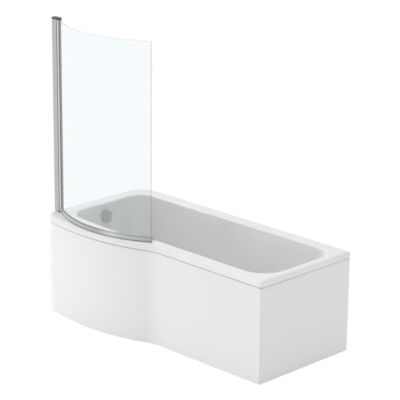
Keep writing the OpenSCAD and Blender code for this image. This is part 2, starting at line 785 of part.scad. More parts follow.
module drip_seal() {
    section = [[-2.3, 6.4], [2.3, 6.4], [2.3, 3.2], [1, 3.2], [3.4, 0.6], [1.6, 0.6], [0, 2.4],
               [-1.6, 0.6], [-3.4, 0.6], [-1, 3.2], [-2.3, 3.2]];
    color(grey_plastic) translate([arc_x, arc_y, 0])
        rotate_extrude(angle = arc_1 - arc_0 - 26 * deg_per_mm, start = arc_0 + 25 * deg_per_mm,
                       $fn = 360)
            translate([glass_r, rim_h]) polygon(section);
}

module rail_end_cap() {
    w = glass_rail_w;
    color(dark_plastic) bent(glass_r - w / 2, glass_r + w / 2, arc_1 + 0.1 * deg_per_mm,
                             arc_1 + 3 * deg_per_mm, rail_bottom, rail_top);
}

// ---- drawing -------------------------------------------------------------------------------

bath_shell();
base_board();
back_rim_batten();
front_rim_batten();
leg_rail_left();
leg_rail_right();
centre_leg_plate();
leg_studs();
leg_nuts();
foot_pads();
rail_screws();
wall_brackets();
bracket_screws();
front_panel();
end_panel();
panel_clips();
front_floor_batten();
end_floor_batten();
waste_flange();
waste_seals();
waste_body();
waste_plug();
plug_stem();
plug_seal();
overflow_body();
overflow_seal();
overflow_plate();
overflow_knob();
knob_spindle();
overflow_hose();
hose_nuts();
control_cable();
wall_channel();
hinge_post();
post_screws();
post_cap();
post_foot();
pivot_pins();
pivot_tube();
glass_panel();
glazing_gasket();
bottom_rail();
drip_seal();
rail_end_cap();
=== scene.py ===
import math
import bpy
import bmesh
from mathutils import Matrix, Vector


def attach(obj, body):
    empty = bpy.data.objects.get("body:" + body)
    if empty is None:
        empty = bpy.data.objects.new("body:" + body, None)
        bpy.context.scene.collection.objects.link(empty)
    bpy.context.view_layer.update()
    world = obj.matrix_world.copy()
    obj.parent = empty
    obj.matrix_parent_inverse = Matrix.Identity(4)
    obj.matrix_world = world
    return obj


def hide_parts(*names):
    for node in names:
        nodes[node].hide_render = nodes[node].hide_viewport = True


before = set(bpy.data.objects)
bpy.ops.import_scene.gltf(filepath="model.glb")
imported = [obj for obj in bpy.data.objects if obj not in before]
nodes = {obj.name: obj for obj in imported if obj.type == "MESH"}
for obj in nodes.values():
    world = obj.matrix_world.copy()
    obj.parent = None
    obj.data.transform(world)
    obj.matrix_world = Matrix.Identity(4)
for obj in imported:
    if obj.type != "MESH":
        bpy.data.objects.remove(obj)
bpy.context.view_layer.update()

MM = 0.001
scene = bpy.context.scene

# ---- camera ----
CAMERA_AT = Vector((6.9677, -6.9022, 3.8724))
CAMERA_LENS = 162.32            # mm on a sensor 36 mm wide
YAW, PITCH, ROLL = 0.7847, 0.304734, 0.009076


def aim_camera():
    level = Vector((math.cos(YAW), math.sin(YAW), 0))
    ahead = Vector((-math.sin(YAW) * math.cos(PITCH), math.cos(YAW) * math.cos(PITCH), -math.sin(PITCH)))
    above = level.cross(ahead)
    right = math.cos(ROLL) * level + math.sin(ROLL) * above
    up = -math.sin(ROLL) * level + math.cos(ROLL) * above
    data = bpy.data.cameras.new("camera")
    data.sensor_width = 36
    data.lens = CAMERA_LENS
    data.clip_end = 200
    camera = bpy.data.objects.new("camera", data)
    scene.collection.objects.link(camera)
    turned = Matrix((right, up, -ahead)).transposed().to_4x4()
    camera.matrix_world = Matrix.Translation(CAMERA_AT) @ turned
    scene.camera = camera
    scene.view_settings.view_transform = "Standard"


aim_camera()

# ---- the bath's dimensions, in millimetres as in the CAD ----
X_WALL, X_END, Y_BACK, Y_BULGE = -850, 850, 418, -418
Y_FRONT = Y_BACK - 730
RIM_H, LIP_H, BASIN_D, SHELL_T = 592, 36, 412, 5
BULGE_X = X_WALL + 400
FLOOR_Z = RIM_H - BASIN_D
UNDER_Z = FLOOR_Z - SHELL_T
BOARD_Z = UNDER_Z - 18
ROLL_IN, ROLL_OUT, FLOOR_R = 12, 15, 70
WALL_H = BASIN_D - ROLL_IN
WALL_RUN, BACKREST_RUN = 60, 290

# A plan outline is [left, right, back, straight front, bulge, bulge x, bulge radius, shoulder
# radius, sweep radius, back-left r, back-right r, front-right r, front-left r]
OUTER = [X_WALL, X_END, Y_BACK, Y_FRONT, Y_BULGE, BULGE_X, 1100, 1600, 310, 135, 10, 10, 100]
PANEL = [7 if i in (10, 11) else v for i, v in enumerate(OUTER)]
MOUTH = [X_WALL + 95, X_END - 50, Y_BACK - 92, Y_FRONT + 80, Y_BULGE + 131, X_WALL + 620,
         350, 4500, 250, 100, 95, 140, 130]
FLOOR = [MOUTH[0] + WALL_RUN, MOUTH[1] - BACKREST_RUN, MOUTH[2] - WALL_RUN, MOUTH[3] + WALL_RUN - 8,
         MOUTH[4] + WALL_RUN, MOUTH[5], 350, 4500, 250, 150, 200, 200, 170]

PANEL_GAP, PANEL_T = 3, 4
PANEL_TOP = RIM_H - LIP_H - 3
FOOT_T, FOOT_W = 4, 6           # the front panel's turned-in foot

WASTE_X, WASTE_Y = X_WALL + 300, 18
WASTE_HOLE_R, OVERFLOW_HOLE_R = 26, 24
TILT = math.atan(WALL_RUN / WALL_H)
OVERFLOW_DROP = 80
OVERFLOW_X = MOUTH[0] + (OVERFLOW_DROP - ROLL_IN) * math.tan(TILT)
OVERFLOW_Z = RIM_H - OVERFLOW_DROP

POST_Z, POST_TOP, FOOT_H = RIM_H + 0.3, RIM_H + 1156, 3
PIVOT_X, PIVOT_Y, PIVOT_R = X_WALL + 48, Y_BULGE + 139, 13.5
CHANNEL_D, CHANNEL_W = 26, 28
GLASS_R, CHORD, GLASS_T = 700, 774, 6
ARC_X = PIVOT_X + CHORD / 2
ARC_Y = PIVOT_Y + math.sqrt(GLASS_R ** 2 - CHORD ** 2 / 4)
HALF = math.degrees(math.asin(CHORD / 2 / GLASS_R))
ARC_0, ARC_1 = 270 - HALF, 270 + HALF
DEG = 180 / (math.pi * GLASS_R)  # degrees per millimetre along the glass
GLASS_Z, RAIL_B, RAIL_T = RIM_H + 11, RIM_H + 3.5, RIM_H + 28

CORNER_STEPS, BOW_STEPS = 28, 26  # of a plan outline's arcs


def angles(a0, a1, steps, first=0):
    """Angles in radians, in even steps from a0 to a1 degrees."""
    return [math.radians(a0 + (a1 - a0) * i / steps) for i in range(first, steps + 1)]


def arc(cx, cy, r, a0, a1, steps, first=0):
    return [(cx + r * math.cos(a), cy + r * math.sin(a)) for a in angles(a0, a1, steps, first)]


def plan_arcs(p, k=0.0, least=0.6):
    """The outline p drawn in by k, as its seven arcs, counter-clockwise from the back right."""
    left, right, back, front, bow = p[0] + k, p[1] - k, p[2] - k, p[3] + k, p[4] + k
    r_bow, r_sh, r_sw = p[6] - k, p[7] - k, p[8] + k
    r_bl, r_br, r_fr, r_fl = (max(v - k, least) for v in p[9:13])
    span = r_bow + r_sw
    run = math.sqrt(span ** 2 - (span - (front - bow)) ** 2)
    turn = math.degrees(math.asin(run / span))
    sh_y, fl_x = bow + r_sh, left + r_fl
    fl_y = sh_y - math.sqrt((r_sh - r_fl) ** 2 - (fl_x - p[5]) ** 2)
    fl_a = 360 + math.degrees(math.atan2(fl_y - sh_y, fl_x - p[5]))
    c, b = CORNER_STEPS, BOW_STEPS
    return [
        arc(right - r_br, back - r_br, r_br, 0, 90, c),
        arc(left + r_bl, back - r_bl, r_bl, 90, 180, c),
        arc(fl_x, fl_y, r_fl, 180, fl_a, c),
        arc(p[5], sh_y, r_sh, fl_a, 270, b, 1),
        arc(p[5], bow + r_bow, r_bow, 270, 270 + turn, b, 1),
        arc(p[5] + run, front - r_sw, r_sw, 90 + turn, 90, b, 1),
        arc(right - r_fr, front + r_fr, r_fr, 270, 360, c)]


def ring(p, k, z):
    return [(x, y, z) for part in plan_arcs(p, k) for x, y in part]


def basin_ring(k, z):
    """The basin's outline at a height, drawn in by k."""
    f = (RIM_H - ROLL_IN - z) / WALL_H
    return ring([a + (b - a) * f for a, b in zip(MOUTH, FLOOR)], k, z)


# ---- mesh helpers ----
def clean_mesh(name, part):
    """A mesh from a part in millimetres, its doubled points joined and its faces turned out."""
    verts, faces = part
    mesh = bpy.data.meshes.new(name)
    mesh.from_pydata([(x * MM, y * MM, z * MM) for x, y, z in verts], [], faces)
    mesh.validate()
    bm = bmesh.new()
    bm.from_mesh(mesh)
    bmesh.ops.remove_doubles(bm, verts=bm.verts, dist=2e-6)
    bmesh.ops.recalc_face_normals(bm, faces=bm.faces)
    bm.to_mesh(mesh)
    bm.free()
    return mesh


def weigh_normals(piece):
    piece.modifiers.new("normals", "WEIGHTED_NORMAL").keep_sharp = True


def smooth(piece, sharp):
    """Smooth shading with hard edges kept above an angle."""
    piece.data.shade_smooth()
    piece.data.set_sharp_from_angle(angle=math.radians(sharp))
    weigh_normals(piece)


def finished(name, mesh, body, replace, sharp, mats):
    """A mesh as a piece that rides on a body in place of CAD nodes."""
    piece = bpy.data.objects.new(name, mesh)
    scene.collection.objects.link(piece)
    for mat in mats:
        mesh.materials.append(mat)
    smooth(piece, sharp)
    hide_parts(*replace)
    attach(piece, body)
    return piece


def make(name, part, body, replace, sharp, mats):
    """A piece from a part in millimetres."""
    return finished(name, clean_mesh(name, part), body, replace, sharp, mats)


def loft(rings, closed=True, caps=True):
    """Faces through rings of equal length; closed joins each ring's ends."""
    n, m = len(rings[0]), len(rings)
    verts = [v for r in rings for v in r]
    faces = []
    for j in range(m - 1):
        for i in range(n if closed else n - 1):
            a, b = j * n + i, j * n + (i + 1) % n
            faces.append((a, b, b + n, a + n))
    if caps:
        faces.append(tuple(range(n - 1, -1, -1)))
        faces.append(tuple(range((m - 1) * n, m * n)))
    return verts, faces


def join(*parts):
    """Several (verts, faces) as one."""
    verts, faces = [], []
    for v, f in parts:
        faces += [tuple(i + len(verts) for i in face) for face in f]
        verts += v
    return verts, faces


def moved(part, m):
    v, f = part
    return [tuple(m @ Vector(p)) for p in v], f


def fillet(points, radius, steps=4):
    """A closed polygon with rounded corners; radius is one number or one a corner."""
    n, out = len(points), []
    radii = radius if isinstance(radius, (list, tuple)) else [radius] * n
    for i in range(n):
        p = Vector(points[i])
        a, b = Vector(points[i - 1]) - p, Vector(points[(i + 1) % n]) - p
        la, lb = a.length, b.length
        a.normalize()
        b.normalize()
        corner = a.angle(b)
        r = radii[i]
        if r <= 0 or corner > math.radians(176):
            out.append(tuple(p))
            continue
        t = min(r / math.tan(corner / 2), 0.48 * la, 0.48 * lb)
        r = t * math.tan(corner / 2)
        mid = (a + b).normalized()
        c = p + mid * (r / math.sin(corner / 2))
        s, e = p + a * t - c, p + b * t - c
        total = s.angle(e)
        sign = 1 if s.x * e.y - s.y * e.x > 0 else -1
        for k in range(steps + 1):
            q = sign * total * k / steps
            out.append((c.x + s.x * math.cos(q) - s.y * math.sin(q),
                        c.y + s.x * math.sin(q) + s.y * math.cos(q)))
    return out


def prism(outline, z0, z1, edge=0.4):
    """An outline pulled up from z0 to z1, its end edges broken by edge."""
    if not edge:
        return loft([[(x, y, z) for x, y in outline] for z in (z0, z1)])
    n = len(outline)
    inner = []
    area = sum(outline[i - 1][0] * outline[i][1] - outline[i][0] * outline[i - 1][1] for i in range(n))
    s = 1 if area > 0 else -1
    for i in range(n):
        a, b, c = Vector(outline[i - 1]), Vector(outline[i]), Vector(outline[(i + 1) % n])
        d = ((b - a).normalized() + (c - b).normalized()).normalized()
        inner.append((b.x - s * d.y * edge, b.y + s * d.x * edge))
    levels = [(inner, z0), (outline, z0 + edge), (outline, z1 - edge), (inner, z1)]
    return loft([[(x, y, z) for x, y in line] for line, z in levels])


def lathe(profile, steps):
    """A closed section of (r, z) points turned about Z."""
    rings = [[(r * math.cos(a), r * math.sin(a), z) for r, z in profile] for a in angles(0, 360, steps)]
    return loft(rings[:-1] + [rings[0]], caps=False)


def bent(section, a0, a1, steps, ends=0.0):
    """A closed section of (r, z) points swept about the glass's centre from a0 to a1 degrees."""
    def turned(part, a):
        c, s = math.cos(math.radians(a)), math.sin(math.radians(a))
        return [(ARC_X + r * c, ARC_Y + r * s, z) for r, z in part]

    lead = ends * DEG
    rows = [turned(section, a0 + lead + (a1 - a0 - 2 * lead) * i / steps) for i in range(steps + 1)]
    if ends > 0:
        mid_r, mid_z = (sum(values) / len(section) for values in zip(*section))
        small = [(r - (ends if r > mid_r else -ends), z - (ends if z > mid_z else -ends)) for r, z in section]
        rows = [turned(small, a0)] + rows + [turned(small, a1)]
    return loft(rows)


def swept(route, radii, sides):
    """A tube along points with a radius at each; its route doesn't start along Y."""
    pts, last, side, rings = [Vector(p) for p in route], len(route) - 1, None, []
    for j, (p, r) in enumerate(zip(pts, radii)):
        t = (pts[min(j + 1, last)] - pts[max(j - 1, 0)]).normalized()
        if side is None:
            side = t.cross(Vector((0, 1, 0)))
        side = (side - t * side.dot(t)).normalized()
        other = t.cross(side)
        rings.append([tuple(p + r * (math.cos(2 * math.pi * i / sides) * side
                                     + math.sin(2 * math.pi * i / sides) * other)) for i in range(sides)])
    return loft(rings)


def cut_out(piece, tools):
    """Cuts each (mesh, place) tool out of a piece and keeps the result as the piece's mesh."""
    old = piece.modifiers.get("normals")
    if old:
        piece.modifiers.remove(old)
    for mesh, spot in tools:
        cutter = bpy.data.objects.new("cutter", mesh)
        scene.collection.objects.link(cutter)
        cutter.matrix_world = spot
        bpy.context.view_layer.update()
        mod = piece.modifiers.new("cut", "BOOLEAN")
        mod.operation = "DIFFERENCE"
        mod.solver = "EXACT"
        mod.object = cutter
        graph = bpy.context.evaluated_depsgraph_get()
        result = bpy.data.meshes.new_from_object(piece.evaluated_get(graph))
        piece.modifiers.clear()
        piece.data = result
        bpy.data.objects.remove(cutter)


def set_at(name, mesh, places, node):
    """One mesh repeated at several places, as a zinc-plated piece of the bath in place of a node."""
    bm = bmesh.new()
    for spot in places:
        start = len(bm.verts)
        bm.from_mesh(mesh)
        bm.verts.ensure_lookup_table()
        bmesh.ops.transform(bm, matrix=spot, verts=bm.verts[start:])
    whole = bpy.data.meshes.new(name)
    bm.to_mesh(whole)
    bm.free()
    finished(name, whole, "bath", [node], 32, [PAINTS["zinc"]])


def thread(r, z0, z1, pitch, depth):
    """Edge of a threaded rod as (r, z) points, from z0 to its last whole turn below z1."""
    count = int((z1 - z0) / pitch)
    out = []
    for i in range(count):
        z = z0 + i * pitch
        out += [(r - depth, z), (r, z + 0.42 * pitch), (r, z + 0.58 * pitch)]
    return out + [(r - depth, z0 + count * pitch)]


def smooth_route(points, per):
    """A Catmull-Rom curve through points, with per steps between two."""
    pts = [Vector(p) for p in points]
    pts = [2 * pts[0] - pts[1]] + pts + [2 * pts[-1] - pts[-2]]
    out = []
    for i in range(1, len(pts) - 2):
        p0, p1, p2, p3 = pts[i - 1:i + 3]
        for k in range(per):
            t = k / per
            out.append(0.5 * ((2 * p1) + (p2 - p0) * t + (2 * p0 - 5 * p1 + 4 * p2 - p3) * t * t
                              + (3 * p1 - p0 - 3 * p2 + p3) * t ** 3))
    out.append(pts[-2])
    return out


# ---- materials ----
class Tree:
    """The nodes of a material or a world."""

    def __init__(self, owner):
        owner.use_nodes = True
        self.tree = owner.node_tree

    def give(self, socket, given):
        """Sets a socket to a value, or joins another node's output to it."""
        if isinstance(given, bpy.types.NodeSocket):
            self.tree.links.new(given, socket)
        else:
            socket.default_value = given

    def fill(self, n, named):
        """Gives a node's inputs by name, where _ stands for a space."""
        for key, given in named.items():
            self.give(n.inputs[key.replace("_", " ")], given)

    def new(self, kind, *first, **named):
        """A node whose inputs are given in order or by name."""
        n = self.tree.nodes.new("ShaderNode" + kind)
        for i, given in enumerate(first):
            self.give(n.inputs[i], given)
        self.fill(n, named)
        return n

    def maths(self, kind, a, b):
        n = self.new("Math", a, b)
        n.operation = kind
        return n.outputs[0]

    def by_ray(self, plain, bright, *kinds):
        """The shader bright where the ray is one of kinds, and plain elsewhere."""
        path = self.new("LightPath")
        last = path.outputs[kinds[0]]
        for kind in kinds[1:]:
            last = self.maths("MAXIMUM", last, path.outputs[kind])
        return self.new("MixShader", last, plain, bright).outputs[0]


class Paint(Tree):
    """A Principled material with a few helpers for its procedural detail."""

    def __init__(self, name, colour, rough, metal=0.0, **plain):
        self.material = bpy.data.materials.new(name)
        super().__init__(self.material)
        self.base = self.tree.nodes["Principled BSDF"]
        self.fill(self.base, dict(plain, Base_Color=(*colour, 1), Roughness=rough, Metallic=metal))
        self.coord = self.new("TexCoord").outputs["Object"]
        self.normal = None

    def stretched(self, scale):
        return self.new("Mapping", Vector=self.coord, Scale=scale).outputs["Vector"]

    def noise(self, scale, detail=3.0, rough=0.5, at=None, distort=0.0):
        return self.new("TexNoise", Vector=at or self.coord, Scale=scale, Detail=detail, Roughness=rough,
                        Distortion=distort).outputs["Fac"]

    def cells(self, scale):
        return self.new("TexVoronoi", Vector=self.coord, Scale=scale).outputs

    def ramp(self, fac, stops):
        n = self.new("ValToRGB", fac)
        items = n.color_ramp.elements
        while len(items) < len(stops):
            items.new(0.5)
        for item, (pos, col) in zip(items, stops):
            item.position = pos
            item.color = (*col, 1)
        return n.outputs["Color"]

    def span(self, fac, low, high, a, b):
        """Takes fac from a..b to low..high."""
        return self.new("MapRange", Value=fac, From_Min=a, From_Max=b, To_Min=low, To_Max=high).outputs[0]

    def axis(self, letter):
        return self.new("SeparateXYZ", self.coord).outputs[letter]

    def distance(self, point):
        n = self.new("VectorMath", self.coord, point)
        n.operation = "DISTANCE"
        return n.outputs["Value"]

    def mix(self, fac, a, b, kind="MIX"):
        """Colour a where fac is 0 and b where it is 1."""
        n = self.new("Mix")
        n.data_type = "RGBA"
        n.blend_type = kind
        for i, given in zip((0, 6, 7), (fac, a, b)):
            self.give(n.inputs[i], given)
        return n.outputs[2]

    def times(self, a, b):
        return self.mix(1.0, a, b, "MULTIPLY")

    def colour(self, out):
        self.give(self.base.inputs["Base Color"], out)

    def rough(self, fac, low, high):
        self.give(self.base.inputs["Roughness"], self.span(fac, low, high, 0.3, 0.7))

    def bump(self, height, strength, distance):
        n = self.new("Bump", Height=height, Strength=strength, Distance=distance)
        if self.normal:
            self.give(n.inputs["Normal"], self.normal)
        self.normal = n.outputs["Normal"]
        self.give(self.base.inputs["Normal"], self.normal)

    def surface(self, shader):
        self.give(self.tree.nodes["Material Output"].inputs["Surface"], shader)


def tone(c, k):
    return tuple(min(1.0, v * k) for v in c)


def grey(v):
    return (v, v, v)


def white_gloss(name, base, rough, peel, shade):
    """Glossy white with a faint orange peel; shade is a function that gives its colour over the piece, with
    painted shade and light in it.
    """
    p = Paint(name, base, rough, Coat_Weight=0.1, Coat_Roughness=0.06, Specular_IOR_Level=0.36)
    clouds = p.ramp(p.noise(2.2, 3), [(0.3, grey(0.99)), (0.7, grey(1))])
    p.colour(p.times(shade(p, base), clouds))
    p.rough(p.noise(9, 5, 0.6), rough * 0.8, rough * 1.35)
    p.bump(p.noise(140, 2), peel, 0.0006)
    p.bump(p.noise(14, 2), peel * 0.5, 0.0015)
    return p.material


def rim_painted_shade(p, base):
    """Painted shade: a little darker down the lip and along the back, where the studio light falls off."""
    height = p.span(p.axis("Z"), 0, 1, 0.575, 0.592)
    depth = p.span(p.axis("Y"), 0, 1, 0.18, 0.36)
    return p.times(p.ramp(height, [(0.0, tone(base, 0.965)), (1.0, base)]),
                   p.ramp(depth, [(0.0, grey(1)), (1.0, grey(0.96))]))


def basin_painted_shade_and_light(p, base):
    """Painted shade and light: darker than the rim, as shade inside the basin, but a little lighter at the
    top of the end away from the shower, as light there.
    """
    height = p.span(p.axis("Z"), 0, 1, 0.35, 0.592)
    shades = [p.ramp(height, [(0.0, tone(base, low)), (0.93, tone(base, high)), (0.985, tone(base, roll)),
                              (1.0, base)])
              for low, high, roll in ((0.92, 0.955, 0.93), (0.93, 1.055, 0.95))]
    return p.mix(p.span(p.distance((0.42, 0.12, 0.55)), 0, 1, 0.5, 0.26), *shades)


def front_panel_painted_shade(p, base):
    """Painted shade: a little darker along the straight part, where the studio light falls off."""
    along = p.span(p.axis("X"), 0, 1, -0.1, 0.6)
    return p.ramp(along, [(0.0, tone(base, 0.99)), (1.0, tone(base, 0.945))])


def end_panel_painted_shade(p, base):
    """Painted shade: darker just under the lip, standing for the lip's shadow."""
    height = p.span(p.axis("Z"), 0, 1, 0.535, 0.553)
    return p.ramp(height, [(0.0, base), (0.5, tone(base, 0.97)), (1.0, tone(base, 0.86))])


def laminate():
    base = (0.74, 0.70, 0.60)
    p = Paint("laminate_raw", base, 0.55)
    strands = p.noise(60, 6, 0.7, at=p.stretched((1, 1, 3)), distort=1.5)
    p.colour(p.ramp(strands, [(0.3, (0.66, 0.62, 0.50)), (0.5, base), (0.72, (0.82, 0.79, 0.71))]))
    p.rough(strands, 0.35, 0.7)
    p.bump(strands, 0.5, 0.002)
    p.bump(p.noise(12, 3), 0.3, 0.004)
    return p.material


def board():
    p = Paint("board_coated", (0.75, 0.72, 0.64), 0.6)
    f = p.noise(35, 8, 0.65)
    p.colour(p.ramp(f, [(0.3, (0.66, 0.62, 0.53)), (0.6, (0.78, 0.75, 0.68)), (0.8, (0.85, 0.83, 0.77))]))
    p.rough(f, 0.45, 0.75)
    p.bump(f, 0.4, 0.001)
    return p.material


def timber(name, grain_way, fine_way, pores):
    """Softwood; the ways stretch its grain along one axis."""
    p = Paint(name, (0.65, 0.48, 0.28), 0.6)
    grain = p.noise(7, 5, 0.6, at=p.stretched(grain_way), distort=0.6)
    fine = p.noise(60, 3, 0.6, at=p.stretched(fine_way))
    p.colour(p.ramp(grain, [(0.25, (0.43, 0.27, 0.12)), (0.45, (0.62, 0.44, 0.24)),
                            (0.62, (0.72, 0.55, 0.33)), (0.8, (0.60, 0.42, 0.22))]))
    p.rough(fine, 0.5, 0.75)
    p.bump(grain, 0.25, 0.0008)
    if pores:
        p.bump(fine, 0.3, 0.0004)
    return p.material


def satin(name, base, rough):
    """Extruded, anodised aluminium with fine die lines along its upright length."""
    p = Paint(name, base, rough, 1.0)
    lines = p.noise(1.0, 4, 0.6, at=p.stretched((260, 260, 3)))
    p.colour(p.ramp(lines, [(0.3, tone(base, 0.93)), (0.7, tone(base, 1.05))]))
    p.rough(lines, rough * 0.8, rough * 1.25)
    p.bump(lines, 0.06, 0.0003)
    p.bump(p.noise(6, 3), 0.02, 0.001)
    return p.material


def paint_shade_along_rail(p, stops):
    """Paints shade and reflection into a material along X, from the hinge to the screen's free edge."""
    along = p.span(p.axis("X"), 0, 1, -0.82, -0.02)
    p.colour(p.ramp(along, [(at, (v, v, v * 1.01)) for at, v in stops]))


def rail_metal():
    """Polished rail, with painted reflection and shade along its length."""
    p = Paint("aluminium_rail", (0.55, 0.55, 0.56), 0.2, 1.0)
    paint_shade_along_rail(p, [(0.0, 0.8), (0.18, 0.72), (0.34, 0.58), (0.5, 0.46), (0.58, 0.46), (0.7, 0.65),
                   (0.82, 0.53), (1.0, 0.44)])
    lines = p.noise(1.0, 4, 0.6, at=p.stretched((30, 30, 260)))
    p.rough(lines, 0.17, 0.27)
    p.bump(lines, 0.05, 0.0003)
    return p.material


def bead_rubber():
    """Soft grey bead over the rail and round the glass's hinge edge, its grey painted darker towards the
    hinge as shade.
    """
    p = moulded_paint("rubber_grey", (0.22, 0.225, 0.23), 0.5, 700, 0.2)
    paint_shade_along_rail(p, [(0.0, 0.11), (0.2, 0.13), (0.34, 0.18), (0.46, 0.33), (0.58, 0.38), (0.7, 0.54),
                   (1.0, 0.5)])
    return p.material


def chrome():
    p = Paint("chrome_plate", (0.80, 0.81, 0.82), 0.07, 1.0)
    swirl = p.noise(40, 6, 0.7, distort=2.0)
    p.colour(p.ramp(swirl, [(0.3, (0.76, 0.77, 0.78)), (0.7, (0.84, 0.85, 0.86))]))
    p.rough(swirl, 0.05, 0.13)
    p.bump(p.noise(300, 2), 0.02, 0.0002)
    return p.material


def knob_chrome_painted_shade():
    """Chrome a little rubbed, and darker than new chrome as painted shade of the basin round it."""
    p = Paint("chrome_knob", (0.6, 0.61, 0.62), 0.16, 1.0)
    rub_and_shade = p.noise(30, 5, 0.6, distort=1.0)
    p.colour(p.ramp(rub_and_shade, [(0.3, (0.55, 0.56, 0.57)), (0.7, (0.63, 0.64, 0.65))]))
    p.rough(rub_and_shade, 0.12, 0.22)
    p.bump(p.noise(250, 2), 0.02, 0.0002)
    return p.material


def zinc():
    p = Paint("zinc_plate", (0.62, 0.64, 0.66), 0.35, 0.9)
    spangle = p.new("SeparateColor", p.cells(90)["Color"]).outputs[0]
    p.colour(p.ramp(spangle, [(0.0, (0.52, 0.54, 0.56)), (1.0, (0.72, 0.74, 0.76))]))
    p.rough(p.noise(25, 5, 0.7), 0.28, 0.5)
    p.bump(p.noise(160, 3), 0.1, 0.0004)
    return p.material


def moulded_paint(name, base, rough, grain=500, depth=0.12):
    p = Paint(name, base, rough)
    p.colour(p.ramp(p.noise(12, 4), [(0.3, tone(base, 0.86)), (0.7, tone(base, 1.14))]))
    p.rough(p.noise(45, 5, 0.6), rough * 0.8, min(1, rough * 1.3))
    p.bump(p.cells(grain)["Distance"], depth, 0.0003)
    return p


def moulded(*given):
    return moulded_paint(*given).material


def glass(name, base, rough, through=1.0):
    """Glass that lets most of the light through to what it shades."""
    p = Paint(name, base, rough, Transmission_Weight=through, IOR=1.45)
    p.bump(p.noise(5, 4, 0.6), 0.008, 0.002)
    clear = p.new("BsdfTransparent", Color=(0.95, 0.95, 0.95, 1)).outputs["BSDF"]
    p.surface(p.by_ray(p.base.outputs["BSDF"], clear, "Is Shadow Ray"))
    return p.material


PAINTS = {
    "rim": white_gloss("rim_white", (0.87, 0.87, 0.865), 0.13, 0.06, rim_painted_shade),
    "basin": white_gloss("basin_white", (0.87, 0.87, 0.865), 0.13, 0.06, basin_painted_shade_and_light),
    "front_panel": white_gloss("panel_white", grey(0.86), 0.2, 0.08, front_panel_painted_shade),
    "end_panel": white_gloss("end_panel_white", grey(0.825), 0.2, 0.08, end_panel_painted_shade),
    # painted shade: the front panel's top edge is dark grey, standing for the shade in the gap under the lip
    "raw_edge": moulded("laminate_raw_edge", (0.29, 0.29, 0.28), 0.7, 300, 0.3),
    "laminate": laminate(),
    "board": board(),
    "timber_x": timber("softwood", (0.9, 14, 14), (0.4, 12, 12), True),
    "timber_y": timber("softwood_y", (14, 0.9, 14), (12, 0.4, 12), False),
    "satin": satin("aluminium_satin", (0.55, 0.55, 0.56), 0.3),
    # lit and shaded copies of the tube's satin: a painted highlight, and painted shade and dark reflection
    "satin_painted_lit": satin("aluminium_painted_lit", (0.74, 0.74, 0.75), 0.25),
    "satin_painted_dark": satin("aluminium_painted_dark", (0.42, 0.42, 0.43), 0.28),
    "satin_painted_shadow": satin("aluminium_painted_shadow", (0.16, 0.16, 0.165), 0.34),
    "rail": rail_metal(),
    "chrome": chrome(),
    "knob": knob_chrome_painted_shade(),
    "zinc": zinc(),
    "glass": glass("glass_clear", (0.92, 0.955, 0.97), 0.0),
    "glass_edge": glass("glass_edge", (0.30, 0.38, 0.38), 0.12),
    "glass_rim": glass("glass_polished_rim", (0.80, 0.84, 0.84), 0.02),
    "glass_top": glass("glass_ground_top", (0.74, 0.78, 0.78), 0.35, 0.25),
    "black": moulded("plastic_black", (0.055, 0.056, 0.06), 0.42),
    "grey": moulded("plastic_grey", (0.40, 0.41, 0.42), 0.45),
    "cap": moulded("plastic_cap", (0.10, 0.103, 0.107), 0.45),
    "end_cap": moulded("plastic_end_cap", (0.36, 0.365, 0.37), 0.4),
    "rubber": moulded("rubber_black", (0.03, 0.03, 0.032), 0.62, 700, 0.25),
    "gasket": bead_rubber(),
    "seal": moulded("seal_clear_grey", (0.60, 0.62, 0.63), 0.4, 400, 0.1),
}


def dress(mat, *names, edge):
    """Gives carried-over nodes a material, joined faces and broken edges."""
    for name in names:
        piece = nodes[name]
        piece.data.materials.clear()
        piece.data.materials.append(mat)
        piece.modifiers.new("weld", "WELD").merge_threshold = 1e-6
        broken = piece.modifiers.new("edge", "BEVEL")
        broken.width = edge * MM
        broken.segments = 2
        broken.limit_method = "ANGLE"
        broken.angle_limit = math.radians(30)
        weigh_normals(piece)


# ---- bath shell ----
BARE, INSIDE = 1, 2             # the shell's materials after the rim's


def bore(r, reach):
    """A cutter for a round hole, reaching to both sides of its origin."""
    return clean_mesh("bore", prism(arc(0, 0, r, 0, 356.25, 95), -reach, reach, 0))


